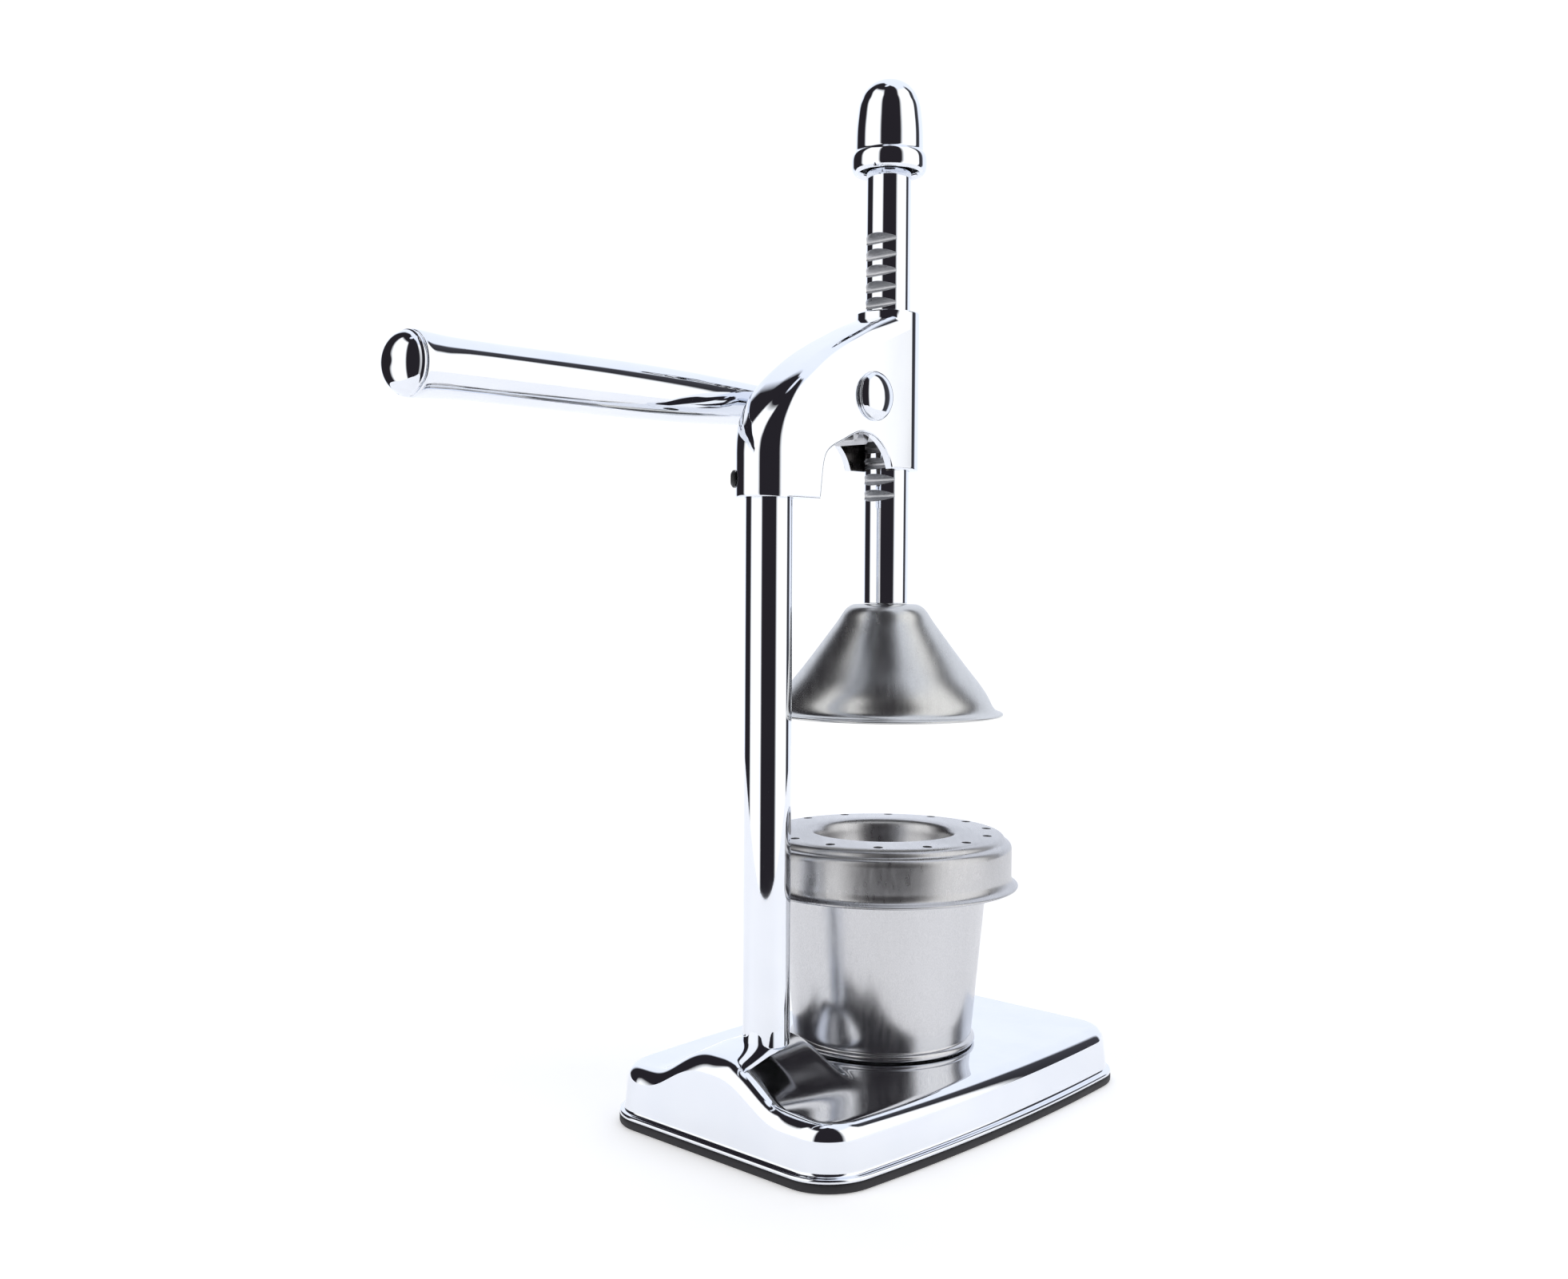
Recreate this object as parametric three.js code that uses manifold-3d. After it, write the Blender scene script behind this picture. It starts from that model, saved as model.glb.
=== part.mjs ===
// A rack-and-pinion citrus press, in millimetres, +Z up.
// The origin is on the floor under the press axis, the front faces -Y, the handle is on the +X side.
import * as THREE from "three";
import { mergeVertices } from "three/addons/utils/BufferGeometryUtils.js";
import Module from "manifold-3d";

const wasm = await Module();
wasm.setup();

// ---- Driving dimensions -------------------------------------------------

const GAP = 0.3; // clearance left between neighbouring pieces
const TUBE_RADIUS = 8; // the column and the rack rod are both 16 mm
const FINE = 32; // facets round the wide turned pieces
const COARSE = 20; // facets round the rods and the small pieces

const BASE = {
  halfWidth: 57.7,
  frontY: -82.4,
  backY: 89.3,
  corner: 17,
  bowY: 3.8, // the long sides are widest here
  bowLength: 296, // the larger, the straighter the long sides
  matHeight: 3,
  lipHeight: 4.6,
  lipWidth: 2.1,
  draft: 0.9, // the walls lean in by this much
  fillet: 6,
  plateau: 20.4,
  sheet: 1.2,
};
const HUMP = {
  top: 34.5,
  centreX: 2,
  crest: 3,
  flank: 31,
  frontY: 52, // from here the ridge rounds off to the front
  frontStretch: 1.9,
  backDrop: 0.12,
};
const CROWN = { height: 1.5, radius: 30, slope: 25 };

const COLUMN = { y: 61.5, top: 236, wall: 1.5 };
const BOLT = { shank: 4, head: 7.2, headHeight: 5.2, top: 48 };
const WASHER_HEIGHT = 1.4;
const PLATE = { halfWidth: 8, frontY: 52.5, backY: 73, height: 3, drop: 4.2 };

const HEAD = {
  halfWidth: 11.3,
  top: 285,
  bossBack: 12, // the block round the rod stands a little above the sloping arm
  guideBottom: 228.5,
  sleeveBottom: 216.3,
  archTop: 239.7,
  channelHalf: 8.2,
  channelFront: 9.5,
  channelBack: 46.8,
  roof: 3.6,
};

const GEAR = { teeth: 16, module: 1.82, halfWidth: 7, backlash: 0.3 };
const PRESSURE_ANGLE = THREE.MathUtils.degToRad(20);
const PITCH_RADIUS = (GEAR.teeth * GEAR.module) / 2;
const RACK_PITCH_Y = TUBE_RADIUS - GEAR.module;
const PIVOT_Y = RACK_PITCH_Y + PITCH_RADIUS;
const PIVOT_Z = 252.9;
const SHAFT_RADIUS = 5;
const SHAFT_WASHER = 0.9;

const RACK = {
  bottom: 180.7,
  top: 346,
  phase: 0.8, // the groove next to the pivot is this far above it
  groovesBelow: 5,
  groovesAbove: 10,
};

const HANDLE = {
  x: 22.2,
  pivotDrop: 3, // the grip's axis passes this far below the pivot
  hubRadius: 11,
  hubEnd: 30,
  armRadius: 4,
};

const CONE_TOP = 180.4;
const CONE_SHEET = 1;
const CUP = { bottom: 22, rim: 96.9, floor: 23.5, wall: 1, radius: 32.2, taper: 0.093 };
const LID = { top: 98.2, sheet: 0.9, rimHoles: 14, rimHoleCircle: 36.6 };

// ---- Helpers --------------------------------------------------------------

function toSolid(geometry) {
  const bare = new THREE.BufferGeometry();
  const loose = geometry.index ? geometry.toNonIndexed() : geometry;
  bare.setAttribute("position", loose.getAttribute("position"));
  const merged = mergeVertices(bare, 1e-4);
  const mesh = new wasm.Mesh({
    numProp: 3,
    vertProperties: Float32Array.from(merged.attributes.position.array),
    triVerts: Uint32Array.from(merged.index.array),
  });
  return new wasm.Manifold(mesh);
}

function toGeometry(solid) {
  const mesh = solid.getMesh();
  const geometry = new THREE.BufferGeometry();
  const positions = Float32Array.from(mesh.vertProperties);
  geometry.setAttribute("position", new THREE.BufferAttribute(positions, 3));
  geometry.setIndex(new THREE.BufferAttribute(Uint32Array.from(mesh.triVerts), 1));
  geometry.computeVertexNormals();
  return geometry;
}

function cut(body, tools) {
  let solid = toSolid(body);
  for (const tool of tools) {
    solid = solid.subtract(toSolid(tool));
  }
  return toGeometry(solid);
}

function join(pieces) {
  let solid = toSolid(pieces[0]);
  for (const piece of pieces.slice(1)) {
    solid = solid.add(toSolid(piece));
  }
  return toGeometry(solid);
}

function common(first, second) {
  return toGeometry(toSolid(first).intersect(toSolid(second)));
}

// Turns a list of [radius, height] round the Z axis.
function turned(profile, facets = COARSE) {
  const points = profile.map(([radius, height]) => new THREE.Vector2(radius, height));
  return new THREE.LatheGeometry(points, facets).rotateX(Math.PI / 2);
}

function disc(radius, bottom, top, facets = COARSE) {
  return turned([[0, bottom], [radius, bottom], [radius, top], [0, top]], facets);
}

function ring(inner, outer, bottom, top, facets = COARSE) {
  const profile = [[inner, bottom], [outer, bottom], [outer, top], [inner, top]];
  return turned([...profile, profile[0]], facets);
}

// The shell between an outer [radius, height] curve that starts on the axis and the same curve
// moved inwards by the sheet thickness.
function shellProfile(outer, sheet) {
  const inner = outer.map(([radius, height], i) => {
    const [r0, h0] = outer[Math.max(i - 1, 0)];
    const [r1, h1] = outer[Math.min(i + 1, outer.length - 1)];
    const length = Math.hypot(r1 - r0, h1 - h0);
    const inwardR = (-(h0 - h1) / length) * sheet;
    const inwardH = (-(r1 - r0) / length) * sheet;
    return radius === 0 ? [0, height - sheet] : [Math.max(radius + inwardR, 0), height + inwardH];
  });
  return [...inner, ...outer.slice().reverse()];
}

const alongX = (geometry) => geometry.rotateY(Math.PI / 2);
const alongY = (geometry) => geometry.rotateX(-Math.PI / 2);

// A side outline of [y, z] points, drawn out along X between two planes.
function sideExtrusion(outline, fromX, toX) {
  const shape = new THREE.Shape(outline.map(([y, z]) => new THREE.Vector2(y, z)));
  const geometry = new THREE.ExtrudeGeometry(shape, { depth: toX - fromX, bevelEnabled: false });
  const toSide = new THREE.Matrix4().makeBasis(
    new THREE.Vector3(0, 1, 0),
    new THREE.Vector3(0, 0, 1),
    new THREE.Vector3(1, 0, 0),
  );
  return geometry.applyMatrix4(toSide).translate(fromX, 0, 0);
}

// A plan outline of [x, y] points, drawn out along Z.
function planExtrusion(outline, bottom, top) {
  const shape = new THREE.Shape(outline.map(([x, y]) => new THREE.Vector2(x, y)));
  const geometry = new THREE.ExtrudeGeometry(shape, { depth: top - bottom, bevelEnabled: false });
  return geometry.translate(0, 0, bottom);
}

function arc(centreX, centreY, radius, fromDegrees, toDegrees, steps) {
  return Array.from({ length: steps + 1 }, (_, i) => {
    const angle = THREE.MathUtils.degToRad(fromDegrees + ((toDegrees - fromDegrees) * i) / steps);
    return [centreX + radius * Math.cos(angle), centreY + radius * Math.sin(angle)];
  });
}

// Rises from 0 to 1 as value goes from 0 to 1.
function smooth(value) {
  const t = THREE.MathUtils.clamp(value, 0, 1);
  return t * t * (3 - 2 * t);
}

const nodes = [];

function node(name, geometry, look) {
  const material = new THREE.MeshStandardMaterial({
    color: look.color,
    roughness: look.roughness,
    metalness: look.metalness,
  });
  const mesh = new THREE.Mesh(geometry, material);
  mesh.name = name;
  nodes.push(mesh);
  return mesh;
}

const CHROME = { color: 0xdfe1e6, roughness: 0.06, metalness: 1 };
const SATIN_STEEL = { color: 0xc4c3c1, roughness: 0.32, metalness: 1 };
const CUT_STEEL = { color: 0x8d8e92, roughness: 0.4, metalness: 1 };
const BLACK_RUBBER = { color: 0x0c0c0e, roughness: 0.75, metalness: 0 };
const BLACK_PLASTIC = { color: 0x121214, roughness: 0.5, metalness: 0 };

// ---- Base -----------------------------------------------------------------

// The bowed, round-cornered footprint, moved inwards by inset.
function footprint(inset) {
  const centreY = (BASE.backY + BASE.frontY) / 2;
  const halfX = BASE.halfWidth - inset;
  const halfY = (BASE.backY - BASE.frontY) / 2 - inset;
  const corner = Math.max(BASE.corner - inset, 2);
  const outline = [];
  const corners = [[1, 1], [-1, 1], [-1, -1], [1, -1]];
  corners.forEach(([sideX, sideY], i) => {
    const centre = [sideX * (halfX - corner), sideY * (halfY - corner)];
    const turn = arc(centre[0], centre[1], corner, i * 90, i * 90 + 90, 4);
    const [nextX, nextY] = corners[(i + 1) % 4];
    const next = [nextX * (halfX - corner), nextY * (halfY - corner)];
    const steps = i % 2 ? 6 : 5;
    outline.push(...turn);
    for (let step = 1; step < steps; step += 1) {
      const [endX, endY] = turn[turn.length - 1];
      outline.push([
        endX + ((next[0] - centre[0]) * step) / steps,
        endY + ((next[1] - centre[1]) * step) / steps,
      ]);
    }
  });
  return outline.map(([x, y]) => {
    const alongSide = (y + centreY - BASE.bowY) / BASE.bowLength;
    return [x * (1 - alongSide * alongSide), y + centreY];
  });
}

// Height of the top skin: a slightly crowned plateau, and the ridge that carries the column.
function topHeight(x, y) {
  const across = Math.max(Math.abs(x - HUMP.centreX) - HUMP.crest, 0);
  const ahead = Math.max(HUMP.frontY - y, 0) * HUMP.frontStretch;
  const fall = smooth(Math.hypot(across, ahead) / HUMP.flank);
  const crest = HUMP.top - Math.max(y - COLUMN.y - 7, 0) * HUMP.backDrop;
  const crown = 1 - smooth((Math.hypot(x, y) - CROWN.radius) / CROWN.slope);
  const hump = (crest - BASE.plateau) * (1 - fall);
  return BASE.plateau + Math.max(hump, CROWN.height * crown);
}

// One skin of the pressing, from its centre out to the lip, lowered and drawn in by the offset.
function baseSkin(offset) {
  const { fillet, draft, lipWidth, lipHeight } = BASE;
  const wallTop = lipWidth + draft;
  const centreY = (BASE.backY + BASE.frontY) / 2;
  const rings = [];
  const inner = footprint(wallTop + fillet + offset);
  for (let scale = 0.1; scale < 0.97; scale += 0.09) {
    rings.push(
      inner.map(([x, y]) => {
        const [px, py] = [x * scale, centreY + (y - centreY) * scale];
        return [px, py, topHeight(px, py) - offset];
      }),
    );
  }
  for (const turn of [0, 22, 45, 68, 90]) {
    const angle = THREE.MathUtils.degToRad(turn);
    const inset = wallTop + fillet * (1 - Math.sin(angle));
    const drop = fillet * (1 - Math.cos(angle));
    rings.push(footprint(inset + offset).map(([x, y]) => [x, y, topHeight(x, y) - drop - offset]));
  }
  rings.push(footprint(lipWidth + offset).map(([x, y]) => [x, y, lipHeight + 0.9 - offset]));
  rings.push(footprint(lipWidth - 0.8 + offset).map(([x, y]) => [x, y, lipHeight - offset * 0.4]));
  return rings;
}

// A closed body through rings of equal length, with a pole at each end.
function lofted(firstPole, rings, lastPole) {
  const count = rings[0].length;
  const positions = [firstPole, ...rings.flat(), lastPole].flat();
  const faces = [];
  for (let i = 0; i < count; i += 1) {
    const next = (i + 1) % count;
    faces.push(0, 1 + i, 1 + next);
    for (let level = 0; level < rings.length - 1; level += 1) {
      const a = 1 + level * count;
      const b = a + count;
      faces.push(a + i, b + i, b + next, a + i, b + next, a + next);
    }
    const last = 1 + (rings.length - 1) * count;
    faces.push(last + i, last + count, last + next);
  }
  const geometry = new THREE.BufferGeometry();
  geometry.setAttribute("position", new THREE.Float32BufferAttribute(positions, 3));
  geometry.setIndex(faces);
  return geometry;
}

function baseShell() {
  const centreY = (BASE.backY + BASE.frontY) / 2;
  const bottom = BASE.matHeight + GAP;
  const outer = baseSkin(0);
  const inner = baseSkin(BASE.sheet).slice(0, -1).reverse();
  const lip = [
    footprint(0.4).map(([x, y]) => [x, y, BASE.lipHeight]),
    footprint(0).map(([x, y]) => [x, y, bottom + 0.6]),
    footprint(0.1).map(([x, y]) => [x, y, bottom]),
    footprint(BASE.lipWidth + BASE.sheet).map(([x, y]) => [x, y, bottom]),
  ];
  const rings = [...outer, ...lip, ...inner];
  const crown = topHeight(0, centreY);
  const shell = lofted([0, centreY, crown], rings, [0, centreY, crown - BASE.sheet]);
  const boltHole = disc(BOLT.shank + GAP, HUMP.top - 8, HUMP.top + 2).translate(0, COLUMN.y, 0);
  return cut(shell, [boltHole]);
}

function baseMat() {
  return planExtrusion(footprint(0), 0, BASE.matHeight);
}

const plateTop = HUMP.top - BASE.sheet - PLATE.drop;
const plateBottom = plateTop - PLATE.height;
const washerBottom = plateBottom - GAP - WASHER_HEIGHT;

function reinforcingPlate() {
  const outline = [
    [-PLATE.halfWidth, PLATE.frontY],
    [PLATE.halfWidth, PLATE.frontY],
    [PLATE.halfWidth, PLATE.backY],
    [-PLATE.halfWidth, PLATE.backY],
  ];
  const hole = disc(BOLT.shank + GAP, plateBottom - 1, plateTop + 1).translate(0, COLUMN.y, 0);
  return cut(planExtrusion(outline, plateBottom, plateTop), [hole]);
}

function columnBolt() {
  const headTop = washerBottom - GAP;
  const head = disc(BOLT.head, headTop - BOLT.headHeight, headTop, 6);
  const shank = disc(BOLT.shank, headTop - 1, BOLT.top, 24);
  return join([head, shank]).translate(0, COLUMN.y, 0);
}

function columnBoltWasher() {
  const washer = ring(BOLT.shank + GAP, 9, washerBottom, washerBottom + WASHER_HEIGHT);
  return washer.translate(0, COLUMN.y, 0);
}

// ---- Column ---------------------------------------------------------------

const columnBottom = HUMP.top + GAP;
const columnBore = TUBE_RADIUS - COLUMN.wall;

function columnTube() {
  return ring(columnBore, TUBE_RADIUS, columnBottom, COLUMN.top).translate(0, COLUMN.y, 0);
}

function columnPlug() {
  const radius = columnBore - GAP;
  const thread = BOLT.shank + GAP;
  const threadTop = BOLT.top + GAP;
  const profile = [
    [0, threadTop],
    [thread, threadTop],
    [thread, columnBottom],
    [radius, columnBottom],
    [radius, threadTop + 5],
    [0, threadTop + 5],
  ];
  return turned(profile, 24).translate(0, COLUMN.y, 0);
}

// ---- Head casting ---------------------------------------------------------

// The sloping back of the arm, from the guide at the front down to the sleeve at the back.
const ARM_BACK = [
  [HEAD.bossBack, HEAD.top],
  [HEAD.bossBack + 0.2, 280.3],
  [26.6, 274.2],
  [39.1, 268.5],
  [51.1, 261.3],
  [58.9, 255.6],
  [66, 248.2],
  [71, 240.3],
  [COLUMN.y + HEAD.halfWidth, 232],
];

function headOutline() {
  const back = COLUMN.y + HEAD.halfWidth;
  const frontFoot = [10.4, HEAD.guideBottom];
  const sleeveFoot = [47.9, HEAD.sleeveBottom];
  const archFront = [[13.4, 234.3], [18, 238], [24, HEAD.archTop]];
  const archBack = [[29, HEAD.archTop - 0.3], [42, 233.8], [46.4, 228.2]];
  return [
    [back, HEAD.sleeveBottom],
    ...ARM_BACK.slice().reverse(),
    [-HEAD.halfWidth, HEAD.top],
    [-HEAD.halfWidth, HEAD.guideBottom],
    frontFoot,
    ...archFront,
    ...archBack,
    sleeveFoot,
  ];
}

// A slot with round ends about the rod and about the column, seen from above.
function headPlan() {
  const half = HEAD.halfWidth;
  return [...arc(0, COLUMN.y, half, 0, 180, 16), ...arc(0, 0, half, 180, 360, 16)];
}

// The hollow between the cheeks, open below, with the sloping roof above it.
function headChannel() {
  const roof = ARM_BACK.filter(([y]) => y > HEAD.channelFront && y < HEAD.channelBack);
  const outline = [
    [HEAD.channelFront, HEAD.sleeveBottom - 5],
    [HEAD.channelBack, HEAD.sleeveBottom - 5],
    [HEAD.channelBack, 259],
    ...roof.reverse().map(([y, z]) => [y, z - HEAD.roof]),
    [HEAD.channelFront, 278.5],
  ];
  return sideExtrusion(outline, -HEAD.channelHalf, HEAD.channelHalf);
}

function headCasting() {
  const block = common(
    sideExtrusion(headOutline(), -HEAD.halfWidth, HEAD.halfWidth),
    planExtrusion(headPlan(), HEAD.sleeveBottom - 1, HEAD.top + 1),
  );
  const bore = TUBE_RADIUS + GAP;
  const rodBore = disc(bore, HEAD.guideBottom - 5, HEAD.top + 5);
  const columnSocket = disc(bore, HEAD.sleeveBottom - 5, COLUMN.top + GAP);
  const span = HEAD.halfWidth + 5;
  const shaftBore = alongX(disc(SHAFT_RADIUS + GAP, -span, span));
  const screwHole = onSleeve(disc(SET_SCREW.shank + GAP, 0, 20, 16));
  const pinionPocket = alongX(disc(PITCH_RADIUS + 2.4, -HEAD.channelHalf, HEAD.channelHalf));
  return cut(block, [
    headChannel(),
    rodBore,
    columnSocket.translate(0, COLUMN.y, 0),
    shaftBore.translate(0, PIVOT_Y, PIVOT_Z),
    pinionPocket.translate(0, PIVOT_Y, PIVOT_Z),
    screwHole,
  ]);
}

const SET_SCREW = { z: 222.5, turn: THREE.MathUtils.degToRad(-45), shank: 2.4, head: 3, standOut: 1.3 };

// Lays a piece turned about Z along the set screw's axis, from the column's axis outwards.
function onSleeve(geometry) {
  return alongY(geometry).rotateZ(SET_SCREW.turn).translate(0, COLUMN.y, SET_SCREW.z);
}

function headSetScrew() {
  const tip = TUBE_RADIUS + GAP;
  const face = HEAD.halfWidth + GAP;
  const { shank, head, standOut } = SET_SCREW;
  const profile = [
    [0, tip],
    [shank, tip],
    [shank, face],
    [head, face],
    [head * 0.85, face + standOut * 0.7],
    [head * 0.4, face + standOut],
    [0, face + standOut],
  ];
  return onSleeve(turned(profile, 20));
}

// ---- Pinion and shaft -----------------------------------------------------

const involute = (angle) => Math.tan(angle) - angle;

// Half the angle that one tooth fills at a radius.
function halfTooth(radius) {
  const baseRadius = PITCH_RADIUS * Math.cos(PRESSURE_ANGLE);
  const angle = Math.acos(Math.min(baseRadius / radius, 1));
  const atPitch = Math.PI / (2 * GEAR.teeth) - GEAR.backlash / (2 * PITCH_RADIUS);
  return atPitch + involute(PRESSURE_ANGLE) - involute(angle);
}

function gearOutline() {
  const root = PITCH_RADIUS - 1.25 * GEAR.module;
  const tip = PITCH_RADIUS + GEAR.module;
  const radii = [root, PITCH_RADIUS * 0.945, PITCH_RADIUS, (PITCH_RADIUS + tip) / 2, tip - 0.1];
  const outline = [];
  for (let tooth = 0; tooth < GEAR.teeth; tooth += 1) {
    const centre = Math.PI - RACK.phase / PITCH_RADIUS + (2 * Math.PI * tooth) / GEAR.teeth;
    const rising = radii.map((radius) => [radius, centre - halfTooth(radius)]);
    const falling = radii.map((radius) => [radius, centre + halfTooth(radius)]).reverse();
    for (const [radius, angle] of [...rising, ...falling]) {
      outline.push([radius * Math.cos(angle), radius * Math.sin(angle)]);
    }
  }
  return outline;
}

function pinionGear() {
  const blank = sideExtrusion(gearOutline(), -GEAR.halfWidth, GEAR.halfWidth);
  const bore = alongX(disc(SHAFT_RADIUS + GAP, -10, 10));
  return cut(blank, [bore]).translate(0, PIVOT_Y, PIVOT_Z);
}

const washerInside = HEAD.halfWidth + GAP;
const washerOutside = washerInside + SHAFT_WASHER;
const hubStart = washerOutside + GAP;
const SHAFT = { capEnd: -14.6, hubEnd: 24 };

function pinionShaft() {
  const shaft = alongX(disc(SHAFT_RADIUS, SHAFT.capEnd, SHAFT.hubEnd));
  const thread = alongX(disc(HUB_BOLT.shank + GAP, SHAFT.hubEnd - 10, SHAFT.hubEnd + 1, 20));
  const grubSeat = disc(HUB_GRUB.radius + GAP, -20, -SHAFT_RADIUS + 1, 16);
  const shaped = cut(shaft, [thread, grubSeat.translate(HANDLE.x - HUB_GRUB.offset, 0, 0)]);
  return shaped.translate(0, PIVOT_Y, PIVOT_Z);
}

function shaftWasher(fromX, toX) {
  return alongX(ring(SHAFT_RADIUS + GAP, 8.9, fromX, toX)).translate(0, PIVOT_Y, PIVOT_Z);
}

function shaftDomeCap() {
  const seat = hubStart;
  const socketEnd = -SHAFT.capEnd + GAP;
  const bore = SHAFT_RADIUS + GAP;
  const profile = [
    [0, socketEnd],
    [bore, socketEnd],
    [bore, seat],
    [8.2, seat],
    [8.2, seat + 0.8],
    [7.3, seat + 2],
    [5.4, seat + 3],
    [2.8, seat + 3.6],
    [0, seat + 3.8],
  ];
  const cap = turned(profile).rotateY(-Math.PI / 2);
  return cap.translate(0, PIVOT_Y, PIVOT_Z);
}

// ---- Handle ---------------------------------------------------------------

const HUB_BOLT = { shank: 2.6, head: 6.5, height: 3.4 };
const HUB_GRUB = { radius: 2, offset: 1.6 };

// Lays a piece turned about Z along the handle's axis, whose zero is under the pivot.
function onHandle(geometry) {
  const laid = alongY(geometry);
  return laid.translate(HANDLE.x, PIVOT_Y, PIVOT_Z - HANDLE.pivotDrop);
}

function handleHub() {
  const { hubRadius, hubEnd } = HANDLE;
  const body = [
    [0, hubStart],
    [hubRadius - 1, hubStart],
    [hubRadius, hubStart + 1],
    [hubRadius, hubEnd - 2],
    [hubRadius - 2, hubEnd],
    [0, hubEnd],
  ];
  const hub = alongX(turned(body)).translate(0, PIVOT_Y, PIVOT_Z);
  const socket = alongX(disc(SHAFT_RADIUS + GAP, hubStart - 1, SHAFT.hubEnd + GAP));
  const boltHole = alongX(disc(HUB_BOLT.shank + GAP, SHAFT.hubEnd, hubEnd + 5, 20));
  const grubHole = disc(HUB_GRUB.radius + GAP, -20, 0, 16);
  const armHole = onHandle(disc(HANDLE.armRadius + GAP, SHAFT_RADIUS + 1.4, 20));
  return cut(hub, [
    socket.translate(0, PIVOT_Y, PIVOT_Z),
    boltHole.translate(0, PIVOT_Y, PIVOT_Z),
    grubHole.translate(HANDLE.x - HUB_GRUB.offset, PIVOT_Y, PIVOT_Z),
    armHole,
  ]);
}

function hubBolt() {
  const seat = HANDLE.hubEnd + GAP;
  const profile = [
    [0, SHAFT.hubEnd - 9],
    [HUB_BOLT.shank, SHAFT.hubEnd - 9],
    [HUB_BOLT.shank, seat],
    [HUB_BOLT.head, seat],
    [HUB_BOLT.head, seat + 1],
    [HUB_BOLT.head * 0.7, seat + HUB_BOLT.height * 0.8],
    [0, seat + HUB_BOLT.height],
  ];
  return alongX(turned(profile, 24)).translate(0, PIVOT_Y, PIVOT_Z);
}

function hubGrubScrew() {
  const grub = disc(HUB_GRUB.radius, -HANDLE.hubRadius + 0.6, -SHAFT_RADIUS + 0.6, 16);
  return grub.translate(HANDLE.x - HUB_GRUB.offset, PIVOT_Y, PIVOT_Z);
}

const GRIP_START = 11.6; // along the handle, from under the pivot
const GRIP_END = 166;
const HANDLE_TIP = 173.2;
const ARM_START = SHAFT_RADIUS + 1.8;
const ARM_END = 150;

// The grip swells from the hub, stays nearly even, then flares before its end.
const GRIP_RADII = [
  [6.1, GRIP_START],
  [6.9, 22],
  [7.5, 34],
  [8, 45],
  [8.8, 75],
  [8.95, 100],
  [8.85, 138],
  [9.1, 155],
  [9.8, GRIP_END],
];

function handleArm() {
  return onHandle(disc(HANDLE.armRadius, ARM_START, ARM_END, 24));
}

function handleGrip() {
  const bore = HANDLE.armRadius + GAP;
  const socket = 7;
  const profile = [
    [bore, GRIP_START],
    ...GRIP_RADII,
    [socket, GRIP_END],
    [socket, ARM_END + 3],
    [bore, ARM_END + 3],
    [bore, GRIP_START],
  ];
  return onHandle(turned(profile));
}

function handleEndCap() {
  const seat = GRIP_END + GAP;
  const spigot = 7 - GAP;
  const profile = [
    [0, ARM_END + 6],
    [spigot, ARM_END + 6],
    [spigot, seat],
    [9.7, seat],
    [9.5, seat + 1.4],
    [8.6, seat + 3.4],
    [6.7, seat + 5.2],
    [3.8, seat + 6.5],
    [0, HANDLE_TIP],
  ];
  return onHandle(turned(profile));
}

// ---- Rack rod and knob ----------------------------------------------------

// The gap between two rack teeth, cut square across the rod.
function rackGroove(z) {
  const slope = Math.tan(PRESSURE_ANGLE);
  const root = RACK_PITCH_Y - 1.25 * GEAR.module + 0.06;
  const half = (Math.PI * GEAR.module) / 4;
  const widthAt = (y) => half + (y - RACK_PITCH_Y) * slope;
  const mouth = TUBE_RADIUS + 1;
  const outline = [
    [root, z - widthAt(root)],
    [mouth, z - widthAt(mouth)],
    [mouth, z + widthAt(mouth)],
    [root, z + widthAt(root)],
  ];
  return sideExtrusion(outline, -TUBE_RADIUS - 1, TUBE_RADIUS + 1);
}

function rackRod() {
  const toothPitch = Math.PI * GEAR.module;
  const grooves = [];
  for (let k = -RACK.groovesBelow; k <= RACK.groovesAbove; k += 1) {
    grooves.push(rackGroove(PIVOT_Z + RACK.phase + k * toothPitch));
  }
  const thread = disc(CONE_SCREW.shank + GAP, RACK.bottom - 1, CONE_SCREW.top + GAP, 20);
  return cut(disc(TUBE_RADIUS, RACK.bottom, RACK.top), [...grooves, thread]);
}

const KNOB = { bottom: 334.9, flange: 13.5, top: 368.4, bore: 10.4 };

function rackKnob() {
  const profile = [
    [0, RACK.top + 4],
    [KNOB.bore - 1.5, RACK.top + 4],
    [KNOB.bore, RACK.top + 1],
    [KNOB.bore, KNOB.bottom + 0.6],
    [KNOB.bore + 0.6, KNOB.bottom],
    [12.7, KNOB.bottom],
    [KNOB.flange, KNOB.bottom + 1.2],
    [KNOB.flange, 340.2],
    [12.9, 341.6],
    [12.2, 342.8],
    [12.1, 350.5],
    [11.5, 355.6],
    [11, 359],
    [10.3, 360.8],
    [9.8, 362.4],
    [8.7, 364.1],
    [6.8, 365.9],
    [3.6, 367.8],
    [0, KNOB.top],
  ];
  return turned(profile);
}

function knobInsert() {
  return ring(TUBE_RADIUS + GAP, KNOB.bore - GAP, KNOB.bottom + 6, RACK.top);
}

// ---- Press cone -----------------------------------------------------------

const CONE_SCREW = { shank: 3, head: 5.6, height: 3.4, top: 196 };
const CONE_CURVE = [
  [11.5, CONE_TOP],
  [13.5, 179.3],
  [14.9, 177.9],
  [16.7, 174.9],
  [18.9, 172],
  [25.4, 163.2],
  [29.7, 157.5],
  [34.3, 151.8],
  [38.2, 146],
  [39.5, 143.2],
  [41.2, 141.8],
  [42.9, 141.3],
];

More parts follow.
